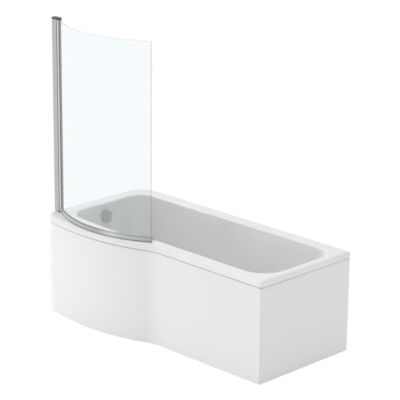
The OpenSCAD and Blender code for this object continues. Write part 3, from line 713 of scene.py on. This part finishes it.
def build_shell():
    """One closed skin: up the basin, over the rim, down the lip and back along the underside."""
    t, steep, lip_z = SHELL_T, BASIN_D - FLOOR_R - ROLL_IN, RIM_H - LIP_H
    inner = [basin_ring(FLOOR_R + 2.5, FLOOR_Z)]
    inner += [basin_ring(FLOOR_R * (1 - math.cos(a)), FLOOR_Z + FLOOR_R * (1 - math.sin(a)))
              for a in angles(90, 0, 12)]
    inner += [basin_ring(0, FLOOR_Z + FLOOR_R + f * steep) for f in (0.02, 0.12, 0.3, 0.5, 0.7, 0.88, 0.98)]
    inner += [ring(MOUTH, -ROLL_IN * (1 - math.sin(a)), RIM_H - ROLL_IN * (1 - math.cos(a)))
              for a in angles(90, 0, 8)]
    inner.append(ring(MOUTH, -ROLL_IN - 1.5, RIM_H))
    lip = [ring(OUTER, ROLL_OUT + 1.5, RIM_H)]
    lip += [ring(OUTER, ROLL_OUT * (1 - math.sin(a)), RIM_H - ROLL_OUT * (1 - math.cos(a)))
            for a in angles(0, 90, 8)]
    lip += [ring(OUTER, k, z) for k, z in (
        (0, RIM_H - ROLL_OUT - 1.5), (0, lip_z + 1.5), (0.4, lip_z + 0.4), (1.5, lip_z),
        (t - 0.6, lip_z), (t, lip_z + 0.6))]
    under = [ring(OUTER, ROLL_OUT - (ROLL_OUT - t) * math.sin(a),
                  RIM_H - ROLL_OUT + (ROLL_OUT - t) * math.cos(a)) for a in angles(90, 0, 4)]
    under += [ring(MOUTH, -ROLL_IN + (ROLL_IN - t) * math.sin(a),
                   RIM_H - ROLL_IN + (ROLL_IN - t) * math.cos(a)) for a in angles(0, 90, 4)]
    under += [basin_ring(-t, FLOOR_Z + FLOOR_R + f * steep) for f in (0.9, 0.65, 0.3, 0.05)]
    under += [basin_ring(FLOOR_R - (FLOOR_R + t) * math.cos(a),
                         FLOOR_Z + FLOOR_R - (FLOOR_R + t) * math.sin(a)) for a in angles(0, 90, 8)]
    piece = make("bath_basin", loft(inner + lip + under), "bath", ["bath_shell"], 40,
                 [PAINTS["rim"], PAINTS["laminate"], PAINTS["basin"]])
    # Faces come ring by ring, then the floor's inside, then its underside
    count, faces = len(inner[0]), piece.data.polygons
    inside_to, bare_from = (len(inner) - 1) * count, (len(inner) + len(lip) - 1) * count
    for face in faces:
        if face.index < inside_to or face.index == len(faces) - 2:
            face.material_index = INSIDE
        elif face.index >= bare_from:
            face.material_index = BARE
    waste = Matrix.Translation(Vector((WASTE_X, WASTE_Y, FLOOR_Z)) * MM)
    overflow = Matrix.Translation(Vector((OVERFLOW_X, WASTE_Y, OVERFLOW_Z)) * MM)
    leaning = Matrix.Rotation(math.pi / 2 - TILT, 4, "Y")
    cut_out(piece, [(bore(WASTE_HOLE_R, 20), waste), (bore(OVERFLOW_HOLE_R, 30), overflow @ leaning)])
    smooth(piece, 40)


build_shell()


# ---- panels ----
FRONT_STARTS, CORNER_NEAR = -210.0, -235.0  # Y of the front panel's end and of a point near its corner


def front_path(k):
    """The front panel's line drawn in by k, from the wall round the shower's corner to the end."""
    left = PANEL[0] + k
    straight = [(left, FRONT_STARTS), (left, CORNER_NEAR)]
    return straight + [q for part in plan_arcs(PANEL, k, least=0.2)[2:] for q in part]


def build_front_panel():
    """The sheet's section, with its turned-in foot, along the front's line."""
    face, back = PANEL_GAP, PANEL_GAP + PANEL_T
    section = fillet([(face, 0), (face, PANEL_TOP), (back, PANEL_TOP), (back, FOOT_T),
                      (back + FOOT_W, FOOT_T), (back + FOOT_W, 0)], [1.2, 1.4, 0.6, 1.5, 0.6, 0.6], 3)
    lines = [[(x, y, z) for x, y in front_path(k)] for k, z in section]
    piece = make("front_panel_sheet", loft(list(zip(*lines))), "bath", ["front_panel"], 35,
                 [PAINTS["front_panel"], PAINTS["raw_edge"]])
    # Painted shade: the top edge faces take the dark grey that stands for the shade in the gap under the lip
    for face in piece.data.polygons:
        if face.normal.z > 0.4 and face.center.z / MM > PANEL_TOP - 2:
            face.material_index = 1


build_front_panel()
dress(PAINTS["end_panel"], "end_panel", edge=1.0)

# ---- post and tube ----
SLOT_HALF, SLOT_FLOOR = 4.05, 5.6  # the tube's slot for the glass
BEZEL = (-33, 88)               # the face painted dark as shade and dark reflection, in degrees from the glass's direction
FLUTE_DEEP, FLUTE_WIDE = 0.6, 4.5  # the second in degrees to each side


def shifted(x, y, outline):
    return [(px + x, py + y) for px, py in outline]


def build_wall_channel():
    """U profile, open away from the wall, with a shallow groove along its front."""
    w, d, t = CHANNEL_W / 2, CHANNEL_D, 2
    outline = [(0, -w), (d - 7, -w), (d - 6.2, -w + 0.7), (d - 4.8, -w + 0.7), (d - 4, -w), (d, -w),
               (d, -w + t), (2.2, -w + t), (2.2, w - t), (d, w - t), (d, w), (0, w)]
    outline = fillet(outline, [0.3, 0.3, 0.2, 0.2, 0.3, 0.8, 0.3, 0.3, 0.3, 0.3, 0.8, 0.3], 3)
    make("wall_channel_profile", prism(shifted(X_WALL, PIVOT_Y, outline), POST_Z, POST_TOP, 0.3),
         "bath", ["wall_channel"], 30, [PAINTS["satin"]])


def build_hinge_post():
    """Profile that slides in the channel, hollowed for the tube."""
    w, inside, back, face, lip = CHANNEL_W / 2, CHANNEL_W / 2 - 2.3, 12, 26.5, 37.5
    axis, hollow_r = PIVOT_X - X_WALL, PIVOT_R + 0.6
    edge = math.degrees(math.acos((lip - axis) / hollow_r))
    outline = [(back, -inside), (face, -inside), (face, -w), (lip, -w)]
    outline += arc(axis, 0, hollow_r, 360 - edge, edge, 20)
    outline += [(lip, w), (face, w), (face, inside), (back, inside)]
    make("hinge_post_profile", prism(shifted(X_WALL, PIVOT_Y, outline), POST_Z + FOOT_H, POST_TOP, 0.3),
         "bath", ["hinge_post"], 30, [PAINTS["satin"]])


def build_tube():
    """Round pivot profile; two flutes bound the face with the glass slot, painted darker as shade and dark
    reflection, while the rest is painted lighter as a highlight.
    """
    away = ARC_0 + 90 - 360
    half = math.degrees(math.asin(SLOT_HALF / PIVOT_R))
    start, stop, steps = away + half, away + 360 - half, 180
    outline = []
    for i in range(steps + 1):
        a = start + (stop - start) * i / steps
        off = min(abs((a - away + 180 - flute) % 360 - 180) for flute in BEZEL)
        r = PIVOT_R - FLUTE_DEEP * max(0.0, 1 - (off / FLUTE_WIDE) ** 2)
        outline.append((r * math.cos(math.radians(a)), r * math.sin(math.radians(a))))
    ca, sa = math.cos(math.radians(away)), math.sin(math.radians(away))
    outline += [(SLOT_FLOOR * ca - y * sa, SLOT_FLOOR * sa + y * ca) for y in (-SLOT_HALF, SLOT_HALF)]
    tube = prism(shifted(PIVOT_X, PIVOT_Y, outline), POST_Z + FOOT_H + 0.4, POST_TOP - 0.4, 0.4)
    piece = make("pivot_tube_profile", tube, "screen", ["pivot_tube"], 30,
                 [PAINTS["satin_painted_lit"], PAINTS["satin_painted_dark"], PAINTS["satin_painted_shadow"]])
    for face in piece.data.polygons:
        a = math.degrees(math.atan2(face.center.y / MM - PIVOT_Y, face.center.x / MM - PIVOT_X)) - away
        a = (a + 180) % 360 - 180
        # Painted shade and reflection: the face left of the slot dark, right of it darker still
        if len(face.vertices) == 4 and BEZEL[0] < a < BEZEL[1]:
            face.material_index = 1 if a < 0 else 2


build_wall_channel()
build_hinge_post()
build_tube()
dress(PAINTS["cap"], "post_cap", edge=1.2)
dress(PAINTS["cap"], "post_foot", edge=0.4)
dress(PAINTS["zinc"], "pivot_pins", edge=0.4)

# ---- screen ----
HALF_T, HALF_W = GLASS_T / 2, 7  # half of the glass's thickness and of the rail's width
GLASS_TOP = POST_TOP - 1
RAIL_START = ARC_0 + 24 * DEG   # clear of the tube and the post
GLASS_CUT, GLASS_RIM, GLASS_UP = 1, 2, 3  # the glass's materials after its face's


def build_glass():
    section = fillet([(GLASS_R - HALF_T, GLASS_Z), (GLASS_R + HALF_T, GLASS_Z),
                      (GLASS_R + HALF_T, GLASS_TOP), (GLASS_R - HALF_T, GLASS_TOP)], 0.8, 2)
    piece = make("glass_sheet", bent(section, ARC_0 + 6.6 * DEG, ARC_1, 120, 0.8), "screen",
                 ["glass_panel"], 25,
                 [PAINTS["glass"], PAINTS["glass_edge"], PAINTS["glass_rim"], PAINTS["glass_top"]])
    for face in piece.data.polygons:
        out = Vector((face.center.x - ARC_X * MM, face.center.y - ARC_Y * MM, 0))
        if math.degrees(math.atan2(out.y, out.x)) % 360 > ARC_1 - 9 * DEG:
            face.material_index = GLASS_RIM
        if abs(face.normal.dot(out.normalized())) < 0.5:
            face.material_index = GLASS_UP if face.normal.z > 0.5 else GLASS_CUT


def build_rail():
    """Channel that holds the glass's foot, with a slot under it for the seal."""
    w, h, g, seat = HALF_W, RAIL_T - RAIL_B, HALF_T, GLASS_Z - RAIL_B
    section = [(-w, 1.5), (-w + 1.5, 0), (-2.4, 0), (-2.4, 3), (2.4, 3), (2.4, 0), (w - 1.5, 0), (w, 1.5),
               (w, h - 5), (g + 1.2, h), (g, h), (g, seat), (-g, seat), (-g, h), (-g - 1.2, h), (-w, h - 5)]
    rounding = [0.6, 0.6, 0.2, 0.2, 0.2, 0.2, 0.6, 0.6, 2.5, 0.4, 0.2, 0.2, 0.2, 0.2, 0.4, 2.5]
    section = [(GLASS_R + r, RAIL_B + z) for r, z in fillet(section, rounding, 4)]
    make("bottom_rail_profile", bent(section, RAIL_START, ARC_1, 110), "screen", ["bottom_rail"],
         30, [PAINTS["rail"]])


def build_gasket():
    """A bead along both sides of the rail's top and a sleeve round the glass in the tube's slot."""
    bead = fillet([(0, 0), (2.4, 0), (1.5, 1.8), (0, 2.6)], 0.3, 2)
    parts = [bent([(GLASS_R + side * (HALF_T + q), RAIL_T + z) for q, z in bead], RAIL_START, ARC_1, 100)
             for side in (-1, 1)]
    g, skin, start, floor, stop = HALF_T, HALF_T + 0.95, 5.7, 6.6, 13
    sleeve = []
    for r, along in ((skin, start), (skin, stop), (g, stop), (g, floor), (-g, floor), (-g, stop),
                     (-skin, stop), (-skin, start)):
        a = math.radians(ARC_0 + along * DEG)
        sleeve.append((ARC_X + (GLASS_R + r) * math.cos(a), ARC_Y + (GLASS_R + r) * math.sin(a)))
    parts.append(prism(sleeve, GLASS_Z, GLASS_TOP, 0.15))
    make("glazing_beads", join(*parts), "screen", ["glazing_gasket"], 30, [PAINTS["gasket"]])


def build_drip_seal():
    """Strip in the rail's slot with two lips just over the rim."""
    section = fillet([(-2.3, 6.4), (2.3, 6.4), (2.3, 3.2), (1, 3.2), (3.4, 0.6), (1.6, 0.6), (0, 2.4),
                      (-1.6, 0.6), (-3.4, 0.6), (-1, 3.2), (-2.3, 3.2)], 0.25, 2)
    section = [(GLASS_R + r, RIM_H + z) for r, z in section]
    make("drip_seal_strip", bent(section, ARC_0 + 25 * DEG, ARC_1 - 1 * DEG, 100), "screen", ["drip_seal"],
         30, [PAINTS["seal"]])


def build_end_cap():
    """Cap with the rail's outline at its free end."""
    w, g = HALF_W, HALF_T + 1.2
    section = fillet([(GLASS_R - w, RAIL_B), (GLASS_R + w, RAIL_B), (GLASS_R + w, RAIL_T - 5),
                      (GLASS_R + g, RAIL_T), (GLASS_R - g, RAIL_T), (GLASS_R - w, RAIL_T - 5)], 1.0, 3)
    make("rail_end_cap_moulding", bent(section, ARC_1 + 0.1 * DEG, ARC_1 + 3 * DEG, 3, 0.6), "screen",
         ["rail_end_cap"], 30, [PAINTS["end_cap"]])


build_glass()
build_rail()
build_gasket()
build_drip_seal()
build_end_cap()


# ---- overflow knob ----
def build_knob():
    """Turned knob with twelve shallow flutes in its edge."""
    r, t, gap, steps = 37.0, 12.0, 8.4, 240
    flute, flute_half, flute_deep = 30, 2.4, 0.8  # spacing and half width in degrees
    profile = [(0, 0), (r - 4, 0), (r - 3, 0), (r - 0.6, 2), (r, 3), (r, t - 3.2), (r - 0.4, t - 2),
               (r - 1.2, t - 1), (r - 2.4, t - 0.2), (r - 4, t), (r - 6, t - 0.1), (r - 8.5, t - 0.5),
               (r - 9.5, t - 0.9), (r - 12, t - 1.0), (18, t - 1.3), (10, t - 1.5), (0, t - 1.6)]
    rows = []
    for i in range(steps):
        a = 2 * math.pi * i / steps
        near = min(math.degrees(a) % flute, flute - math.degrees(a) % flute)
        dent = flute_deep * max(0.0, 1 - (near / flute_half) ** 2)
        row = []
        for edge, z in profile:
            k = edge - dent if edge > r - 1.5 and z < t - 2.5 else edge
            row.append((k * math.cos(a), k * math.sin(a), z + gap))
        rows.append(row)
    to_overflow = (Matrix.Translation(Vector((OVERFLOW_X, WASTE_Y, OVERFLOW_Z)))
                   @ Matrix.Rotation(math.pi / 2 - TILT, 4, "Y"))
    knob = moved(loft(rows + [rows[0]], closed=False, caps=False), to_overflow)
    make("overflow_knob_turned", knob, "knob", ["overflow_knob"], 40, [PAINTS["knob"]])


build_knob()
dress(PAINTS["chrome"], "overflow_plate", "plug_stem", "knob_spindle", edge=0.3)

# ---- waste ----
TO_WASTE = Matrix.Translation(Vector((WASTE_X, WASTE_Y, 0)))


def lifted(section, z):
    return [(r, h + z) for r, h in section]


def build_flange():
    """Ring in the floor, threaded tail through it, and three spokes to the stem's bush."""
    top = fillet([(20, 0), (35, 0), (35, 1), (31, 3), (24, 3), (21, 1.6), (20, 1.6)],
                 [0, 0.3, 0.6, 1.2, 1.0, 0.4, 0.3], 5)
    tail = [(20, UNDER_Z - 22), (23.6, UNDER_Z - 22)]
    tail += thread(24.5, UNDER_Z - 21.5, FLOOR_Z + 1.2, 1.8, 0.7)
    tail += [(23.8, FLOOR_Z + 2), (20, FLOOR_Z + 2)]
    bush = fillet([(4.05, 0), (7, 0), (7, 8), (4.05, 8)], [0.2, 0.8, 0.8, 0.4], 3)
    spoke = fillet([(5, -1.5), (21, -1.5), (21, 1.5), (5, 1.5)], 0.5, 2)
    spokes = [moved(prism(spoke, UNDER_Z - 6, UNDER_Z - 2, 0.7), Matrix.Rotation(math.radians(a), 4, "Z"))
              for a in (30, 150, 270)]
    flange = join(lathe(lifted(top, FLOOR_Z + 1.5), 96), lathe(tail, 72),
                  lathe(lifted(bush, UNDER_Z - 6), 40), *spokes)
    make("waste_flange_turned", moved(flange, TO_WASTE), "bath", ["waste_flange"], 32,
         [PAINTS["chrome"]])


def build_plug():
    """Domed plug."""
    section = [(0, 0)] + fillet([(26, 0), (29, 1), (30, 2.5), (29, 3.6)], [0.6, 0.8, 0.8, 0.4], 4)
    section += [(28.0 * math.cos(a), 3.6 + 4.4 * math.sin(a) ** 1.3) for a in angles(0, 90, 18)[:-1]]
    section.append((0, 8.0))
    plug = moved(lathe(lifted(section, FLOOR_Z + 6.2), 96), TO_WASTE)
    make("waste_plug_turned", plug, "plug", ["waste_plug"], 32, [PAINTS["chrome"]])


build_flange()
build_plug()

# ---- screws, legs and feet ----
SCREW_R, SCREW_L, STEEL_T = 2.4, 14, 2.5
STUD_R, NUT_H, PAD_BORE_Z = 5, 8, 8
LEFT_LEG_X, RIGHT_LEG_X = -400, 340
LEGS = [(LEFT_LEG_X, -290), (LEFT_LEG_X, 340), (RIGHT_LEG_X, -225), (RIGHT_LEG_X, 340), (-30, 40)]


def screw_mesh(length):
    """Pan-headed screw driven upwards: the head hangs below z 0, a cross is cut into it."""
    section = [(0, -3), (2.4, -2.92), (3.5, -2.6), (4.2, -1.9), (4.5, -1.0), (4.5, -0.3), (4.2, 0),
               (SCREW_R, 0)]
    section += thread(SCREW_R, 0.4, length - 3, 1.1, 0.5) + [(0.3, length), (0, length)]
    piece = bpy.data.objects.new("screw", clean_mesh("screw", lathe(section, 28)))
    scene.collection.objects.link(piece)
    arm = fillet([(-2.4, -0.45), (2.4, -0.45), (2.4, 0.45), (-2.4, 0.45)], 0.3, 2)
    cross = clean_mesh("cross", prism(arm, -3.6, -1.5, 0))
    cut_out(piece, [(cross, Matrix.Identity(4)), (cross, Matrix.Rotation(math.pi / 2, 4, "Z"))])
    mesh = piece.data
    bpy.data.objects.remove(piece)
    return mesh


def place(x, y, z, turn=0.0, axis="Z", spin=0.0):
    return (Matrix.Translation(Vector((x, y, z)) * MM) @ Matrix.Rotation(math.radians(turn), 4, axis)
            @ Matrix.Rotation(math.radians(spin), 4, "Z"))


def build_screws():
    long_screw = screw_mesh(STEEL_T + SCREW_L)
    spots = [(x + side, y) for x in (LEFT_LEG_X, RIGHT_LEG_X) for side in (-10, 10) for y in (-85, 165)]
    spots += arc(*LEGS[4], 50, 45, 315, 3)
    set_at("rail_screws_turned", long_screw,
           [place(x, y, BOARD_Z - STEEL_T, spin=37 * i) for i, (x, y) in enumerate(spots)], "rail_screws")
    set_at("bracket_screws_turned", long_screw,
           [place(x, Y_BACK - 36, PANEL_TOP - STEEL_T, spin=x / 9) for x in (-500, 500)], "bracket_screws")
    set_at("post_screws_turned", screw_mesh(5),
           [place(X_WALL + 15, PIVOT_Y + CHANNEL_W / 2, RIM_H + z, 90, "X", z / 7) for z in (80, 540, 1000)],
           "post_screws")


def stud(x, y, top):
    section = [(0, PAD_BORE_Z), (STUD_R - 0.6, PAD_BORE_Z)]
    section += thread(STUD_R, PAD_BORE_Z + 0.6, top, 1.5, 0.5) + [(STUD_R - 1.3, top), (0, top)]
    return moved(lathe(section, 24), Matrix.Translation(Vector((x, y, 0))))


def nut(x, y, z):
    """Hexagon nut, its corners turned off at both ends."""
    across, face_r, hole_r, mouth_r, count = 17.0, 8.3, 4.95, 5.6, 72
    turns = [math.radians(360 * i / count) for i in range(count)]
    hexagon = [across / 2 / math.cos(math.radians(math.degrees(a) % 60 - 30)) for a in turns]
    drop = [0.577 * (r - face_r) for r in hexagon]

    def level(radii, heights):
        return [(x + r * math.cos(a), y + r * math.sin(a), z + h) for r, a, h in zip(radii, turns, heights)]

    def circle(r, h):
        return level([r] * count, [h] * count)

    rings = [circle(hole_r, 0.6), circle(mouth_r, 0.0), circle(face_r, 0.0), level(hexagon, drop),
             level(hexagon, [NUT_H - q for q in drop]), circle(face_r, NUT_H), circle(mouth_r, NUT_H),
             circle(hole_r, NUT_H - 0.6)]
    return loft(rings + [rings[0]], caps=False)


def build_legs():
    """The first four legs go through the board, the centre one ends under it."""
    studs, nuts = [], []
    for i, (x, y) in enumerate(LEGS):
        outer = i < 4
        studs.append(stud(x, y, BOARD_Z + 14 if outer else BOARD_Z - 0.3))
        nuts += [nut(x, y, 22), nut(x, y, BOARD_Z - STEEL_T - NUT_H)] + [nut(x, y, BOARD_Z)] * outer
    make("leg_studs_threaded", join(*studs), "bath", ["leg_studs"], 25, [PAINTS["zinc"]])
    make("leg_nuts_hexagon", join(*nuts), "bath", ["leg_nuts"], 25, [PAINTS["zinc"]])
    pad = fillet([(0, 0), (25, 0), (25, 4), (12, 9), (12, 16), (5.05, 16), (5.05, PAD_BORE_Z),
                  (0, PAD_BORE_Z)], [0, 1, 1.4, 3, 1, 0.4, 0.3, 0], 5)
    pads = join(*[moved(lathe(pad, 64), Matrix.Translation(Vector((x, y, 0)))) for x, y in LEGS])
    make("foot_pads_moulded", pads, "bath", ["foot_pads"], 30, [PAINTS["black"]])


build_screws()
build_legs()

# ---- overflow hose and cable ----
HOSE_R, HOSE_BEND, HOSE_RIBS, RIB_STEPS = 12.5, 70, 40, 10
CABLE_R = 2.5
SPOUT_Z = -SHELL_T - 24         # the spout's axis behind the wall
SPOUT = (OVERFLOW_X + SPOUT_Z * math.cos(TILT) + 52 * math.sin(TILT),
         OVERFLOW_Z + SPOUT_Z * math.sin(TILT) - 52 * math.cos(TILT))
INLET_X, INLET_Z = WASTE_X - 60, BOARD_Z - 16


def hose_point(f):
    """The hose's middle line at a share f of its length: straight down, a bend, straight along."""
    drop = (SPOUT[1] - INLET_Z - HOSE_BEND * (1 - math.sin(TILT))) / math.cos(TILT)
    foot = (SPOUT[0] + drop * math.sin(TILT), SPOUT[1] - drop * math.cos(TILT))
    mid = (foot[0] + HOSE_BEND * math.cos(TILT), foot[1] + HOSE_BEND * math.sin(TILT))
    turn = HOSE_BEND * (math.pi / 2 - TILT)
    s = f * (drop + turn + INLET_X - mid[0])
    if s < drop:
        return (SPOUT[0] + s * math.sin(TILT), WASTE_Y, SPOUT[1] - s * math.cos(TILT))
    if s < drop + turn:
        a = math.pi + TILT + (s - drop) / HOSE_BEND
        return (mid[0] + HOSE_BEND * math.cos(a), WASTE_Y, mid[1] + HOSE_BEND * math.sin(a))
    return (mid[0] + s - drop - turn, WASTE_Y, mid[1] - HOSE_BEND)


def build_hose():
    """Ribbed all along but for its plain ends."""
    count, plain_end = HOSE_RIBS * RIB_STEPS, 15
    route, radii = [], []
    for i in range(count + 1):
        route.append(hose_point(i / count))
        wave = math.cos(2 * math.pi * i / RIB_STEPS)
        plain = i < plain_end or i > count - plain_end
        radii.append(HOSE_R if plain else HOSE_R + math.copysign(abs(wave) ** 0.5, wave))
    make("overflow_hose_ribbed", swept(route, radii, 28), "bath", ["overflow_hose"], 60,
         [PAINTS["grey"]])


def build_cable():
    """Beside the hose, from behind the knob to the boss on the waste's body."""
    side, behind = WASTE_Y + 34, OVERFLOW_X - (SHELL_T + 55) * math.cos(TILT)
    route = [(behind + 1, WASTE_Y, OVERFLOW_Z - 10), (behind - 4, WASTE_Y + 5, OVERFLOW_Z - 42),
             (behind - 4, WASTE_Y + 18, OVERFLOW_Z - 84)]
    route += [(behind + dx, side + dy, OVERFLOW_Z - dz) for dx, dy, dz in
              ((0, 0, 132), (8, 4, 190), (18, 6, 250), (33, 7, 304), (55, 8, 345), (86, 8, 369))]
    route.append((behind + 121, side + 6, BOARD_Z - 19.4))
    a = math.radians(150)
    route += [(WASTE_X + q * math.cos(a), WASTE_Y + q * math.sin(a), BOARD_Z - 20) for q in (66, 48, 30)]
    route = smooth_route(route, 7)
    make("control_cable_sleeve", swept(route, [CABLE_R] * len(route), 16), "bath", ["control_cable"],
         60, [PAINTS["rubber"]])


build_hose()
build_cable()

# ---- nodes that stay as they are ----
dress(PAINTS["black"], "waste_body", "overflow_body", "hose_nuts", edge=0.6)
dress(PAINTS["rubber"], "waste_seals", "overflow_seal", "plug_seal", edge=0.3)
dress(PAINTS["zinc"], "leg_rail_left", "leg_rail_right", "centre_leg_plate", "wall_brackets", edge=0.5)
dress(PAINTS["grey"], "panel_clips", edge=0.4)
dress(PAINTS["board"], "base_board", "back_rim_batten", "front_rim_batten", edge=1.0)
dress(PAINTS["timber_x"], "front_floor_batten", edge=1.0)
dress(PAINTS["timber_y"], "end_floor_batten", edge=1.0)

# ---- stage and light ----
FLOOR_GLOW, FLOOR_GIVES = 0.985, 0.33  # how white the floor looks, how much light it gives
SKY_GLOSSY, SKY_FRONT, SKY_SIDE = 0.75, 0.35, 0.91  # the sky's strength
SKY_LEAN = 0.18                 # moves its darkest part away from the shower end
BATH_MIDDLE = Vector((0.1, 0, 0.3))


def lay_floor():
    """White floor that glows for the camera, but lights the bath only faintly."""
    bm = bmesh.new()
    bmesh.ops.create_grid(bm, x_segments=1, y_segments=1, size=30)
    mesh = bpy.data.meshes.new("studio_floor")
    bm.to_mesh(mesh)
    bm.free()
    floor = bpy.data.objects.new("studio_floor", mesh)
    scene.collection.objects.link(floor)
    floor.location = (0, 0, -0.0006)
    p = Paint("studio_floor", grey(0.82), 0.9, Emission_Color=(1, 1, 1, 1), Emission_Strength=FLOOR_GIVES)
    matt, white = p.base.outputs["BSDF"], p.new("Emission", Color=(1, 1, 1, 1), Strength=1.0).outputs[0]
    glow = p.new("MixShader", FLOOR_GLOW, matt, white).outputs[0]
    p.surface(p.by_ray(matt, glow, "Is Camera Ray", "Is Transmission Ray", "Is Glossy Ray"))
    mesh.materials.append(p.material)


def make_sky():
    """White to look at; its soft light is strongest from the bath's ends, most from the shower's."""
    world = bpy.data.worlds.new("studio")
    scene.world = world
    sky = Tree(world)
    sky.tree.nodes.clear()
    split = sky.new("SeparateXYZ", sky.new("TexCoord").outputs["Generated"])
    lean = sky.maths("SUBTRACT", split.outputs[0], SKY_LEAN)
    level = sky.new("MapRange", Value=sky.maths("MULTIPLY", lean, lean), To_Min=SKY_FRONT, To_Max=SKY_SIDE)
    level.clamp = False
    seen, glossy, diffuse = (sky.new("Background", Color=(1, 1, 1, 1), Strength=strength).outputs[0]
                             for strength in (1.0, SKY_GLOSSY, level.outputs["Result"]))
    lighting = sky.by_ray(diffuse, glossy, "Is Glossy Ray")
    sky.new("OutputWorld", Surface=sky.by_ray(lighting, seen, "Is Camera Ray", "Is Transmission Ray"))


def lamp(name, stand, power, spread):
    """A far light of some W/m2 that shines from a stand to the bath, its disc some degrees wide."""
    data = bpy.data.lights.new(name, "SUN")
    data.energy = power
    data.angle = math.radians(spread)
    light = bpy.data.objects.new(name, data)
    scene.collection.objects.link(light)
    light.location = stand
    light.rotation_euler = (BATH_MIDDLE - Vector(stand)).to_track_quat("-Z", "Y").to_euler()
    light.visible_glossy = False


lay_floor()
make_sky()
lamp("top_light", (-1.5, 1.5, 12), 1.51, 50)
lamp("front_light", (-7.6, -6.9, 0.5), 0.72, 2)
